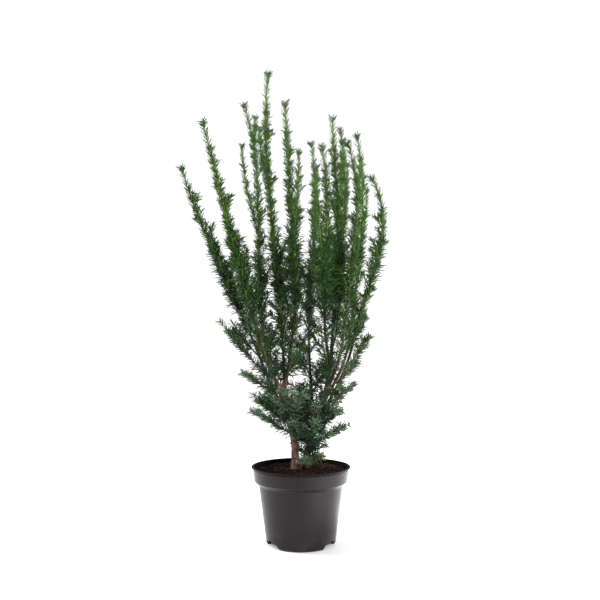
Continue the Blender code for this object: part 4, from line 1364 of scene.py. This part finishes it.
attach(fallen, "root")


# The stage: a pale floor, lit from below as a light table is, and a room that is white behind the plant
# and dimmer in front. A large soft lamp hangs on the left, one in front on the right and a weak one
# behind. The camera stands straight in front, tilted up a little.

CAMERA_PLACE = (-0.002, -1.3, 0.374)
CAMERA_PITCH = math.radians(4.47)
CAMERA_LENS = 38.86
LAMPS = {  # each with its place, its width and its power
    "key": ((-1.5, 0.2, 1.5), 0.7, 26),
    "fill": ((1.1, -1.5, 1.3), 1.2, 22),
    "back": ((0.3, 1.5, 1.9), 1.2, 8),
}
AIM = (0, 0, 0.45)
ROOM_LIGHT = (0.22, 1.12)
ROOM_SPAN = (-0.8, 0.35)
FLOOR_HALF_WIDTH = 6
FLOOR_COLOURS = ((0.5, 0.5, 0.5), (0.9, 0.9, 0.9))
FLOOR_FADE = (-0.55, -0.25)  # the floor is greyer and unlit in front of this
FOOT_GLOW = 0.25  # the light from below starts a little way off the pot's foot
FOOT_SPAN = (0.12, 0.22)
SIDE_GLOW = (0.1, 1.4)  # and it is stronger on the right than on the left
SIDE_SPAN = (0.0, 0.20)

floor_bm = bmesh.new()
bmesh.ops.create_grid(floor_bm, x_segments=1, y_segments=1, size=FLOOR_HALF_WIDTH)
floor_skin, tree, shader = new_material("white_floor", FLOOR_COLOURS[1], 0.8, 0)
place = pattern_space(tree)
spot = add_node(tree, "ShaderNodeSeparateXYZ", Vector=place)
ahead = ramp(tree, spot.outputs["Y"], *FLOOR_FADE)
away = tree.nodes.new("ShaderNodeVectorMath")
away.operation = "LENGTH"
tree.links.new(place, away.inputs[0])
side = ramp(tree, spot.outputs["X"], *SIDE_SPAN, *SIDE_GLOW)
glow = scaled(tree, ramp(tree, away.outputs["Value"], *FOOT_SPAN), side, FOOT_GLOW)
tree.links.new(scaled(tree, ahead, glow), shader.inputs["Emission Strength"])
tree.links.new(blend(tree, ahead, *FLOOR_COLOURS), shader.inputs["Base Color"])
shader.inputs["Emission Color"].default_value = (1, 1, 1, 1)
floor = add_piece("floor", to_mesh("floor", floor_bm), [floor_skin])
floor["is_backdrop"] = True
for name, (spot, size, power) in LAMPS.items():
    lamp = bpy.data.lights.new(name, "AREA")
    lamp.size = size
    lamp.energy = power
    holder = bpy.data.objects.new(name, lamp)
    holder.location = spot
    holder.rotation_euler = (Vector(AIM) - holder.location).to_track_quat("-Z", "Y").to_euler()
    bpy.context.scene.collection.objects.link(holder)
world = bpy.data.worlds.new("white_room")
world.use_nodes = True
tree = world.node_tree
way = add_node(tree, "ShaderNodeTexCoord").outputs["Generated"]
front = add_node(tree, "ShaderNodeSeparateXYZ", Vector=way).outputs["Y"]
room_light = ramp(tree, front, *ROOM_SPAN, *ROOM_LIGHT)
tree.links.new(room_light, tree.nodes["Background"].inputs["Strength"])
tree.nodes["Background"].inputs["Color"].default_value = (1, 1, 1, 1)
bpy.context.scene.world = world
lens = bpy.data.cameras.new("camera")
lens.lens = CAMERA_LENS
lens.sensor_width = 36
camera = bpy.data.objects.new("camera", lens)
camera.location = CAMERA_PLACE
camera.rotation_euler = (math.pi / 2 + CAMERA_PITCH, 0, 0)
bpy.context.scene.collection.objects.link(camera)
bpy.context.scene.camera = camera
bpy.context.scene.view_settings.view_transform = "Standard"

seen_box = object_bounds()
boxes = {"cad": cad_box, "visual": seen_box}
{name: [list(corner) for corner in box] for name, box in boxes.items()}
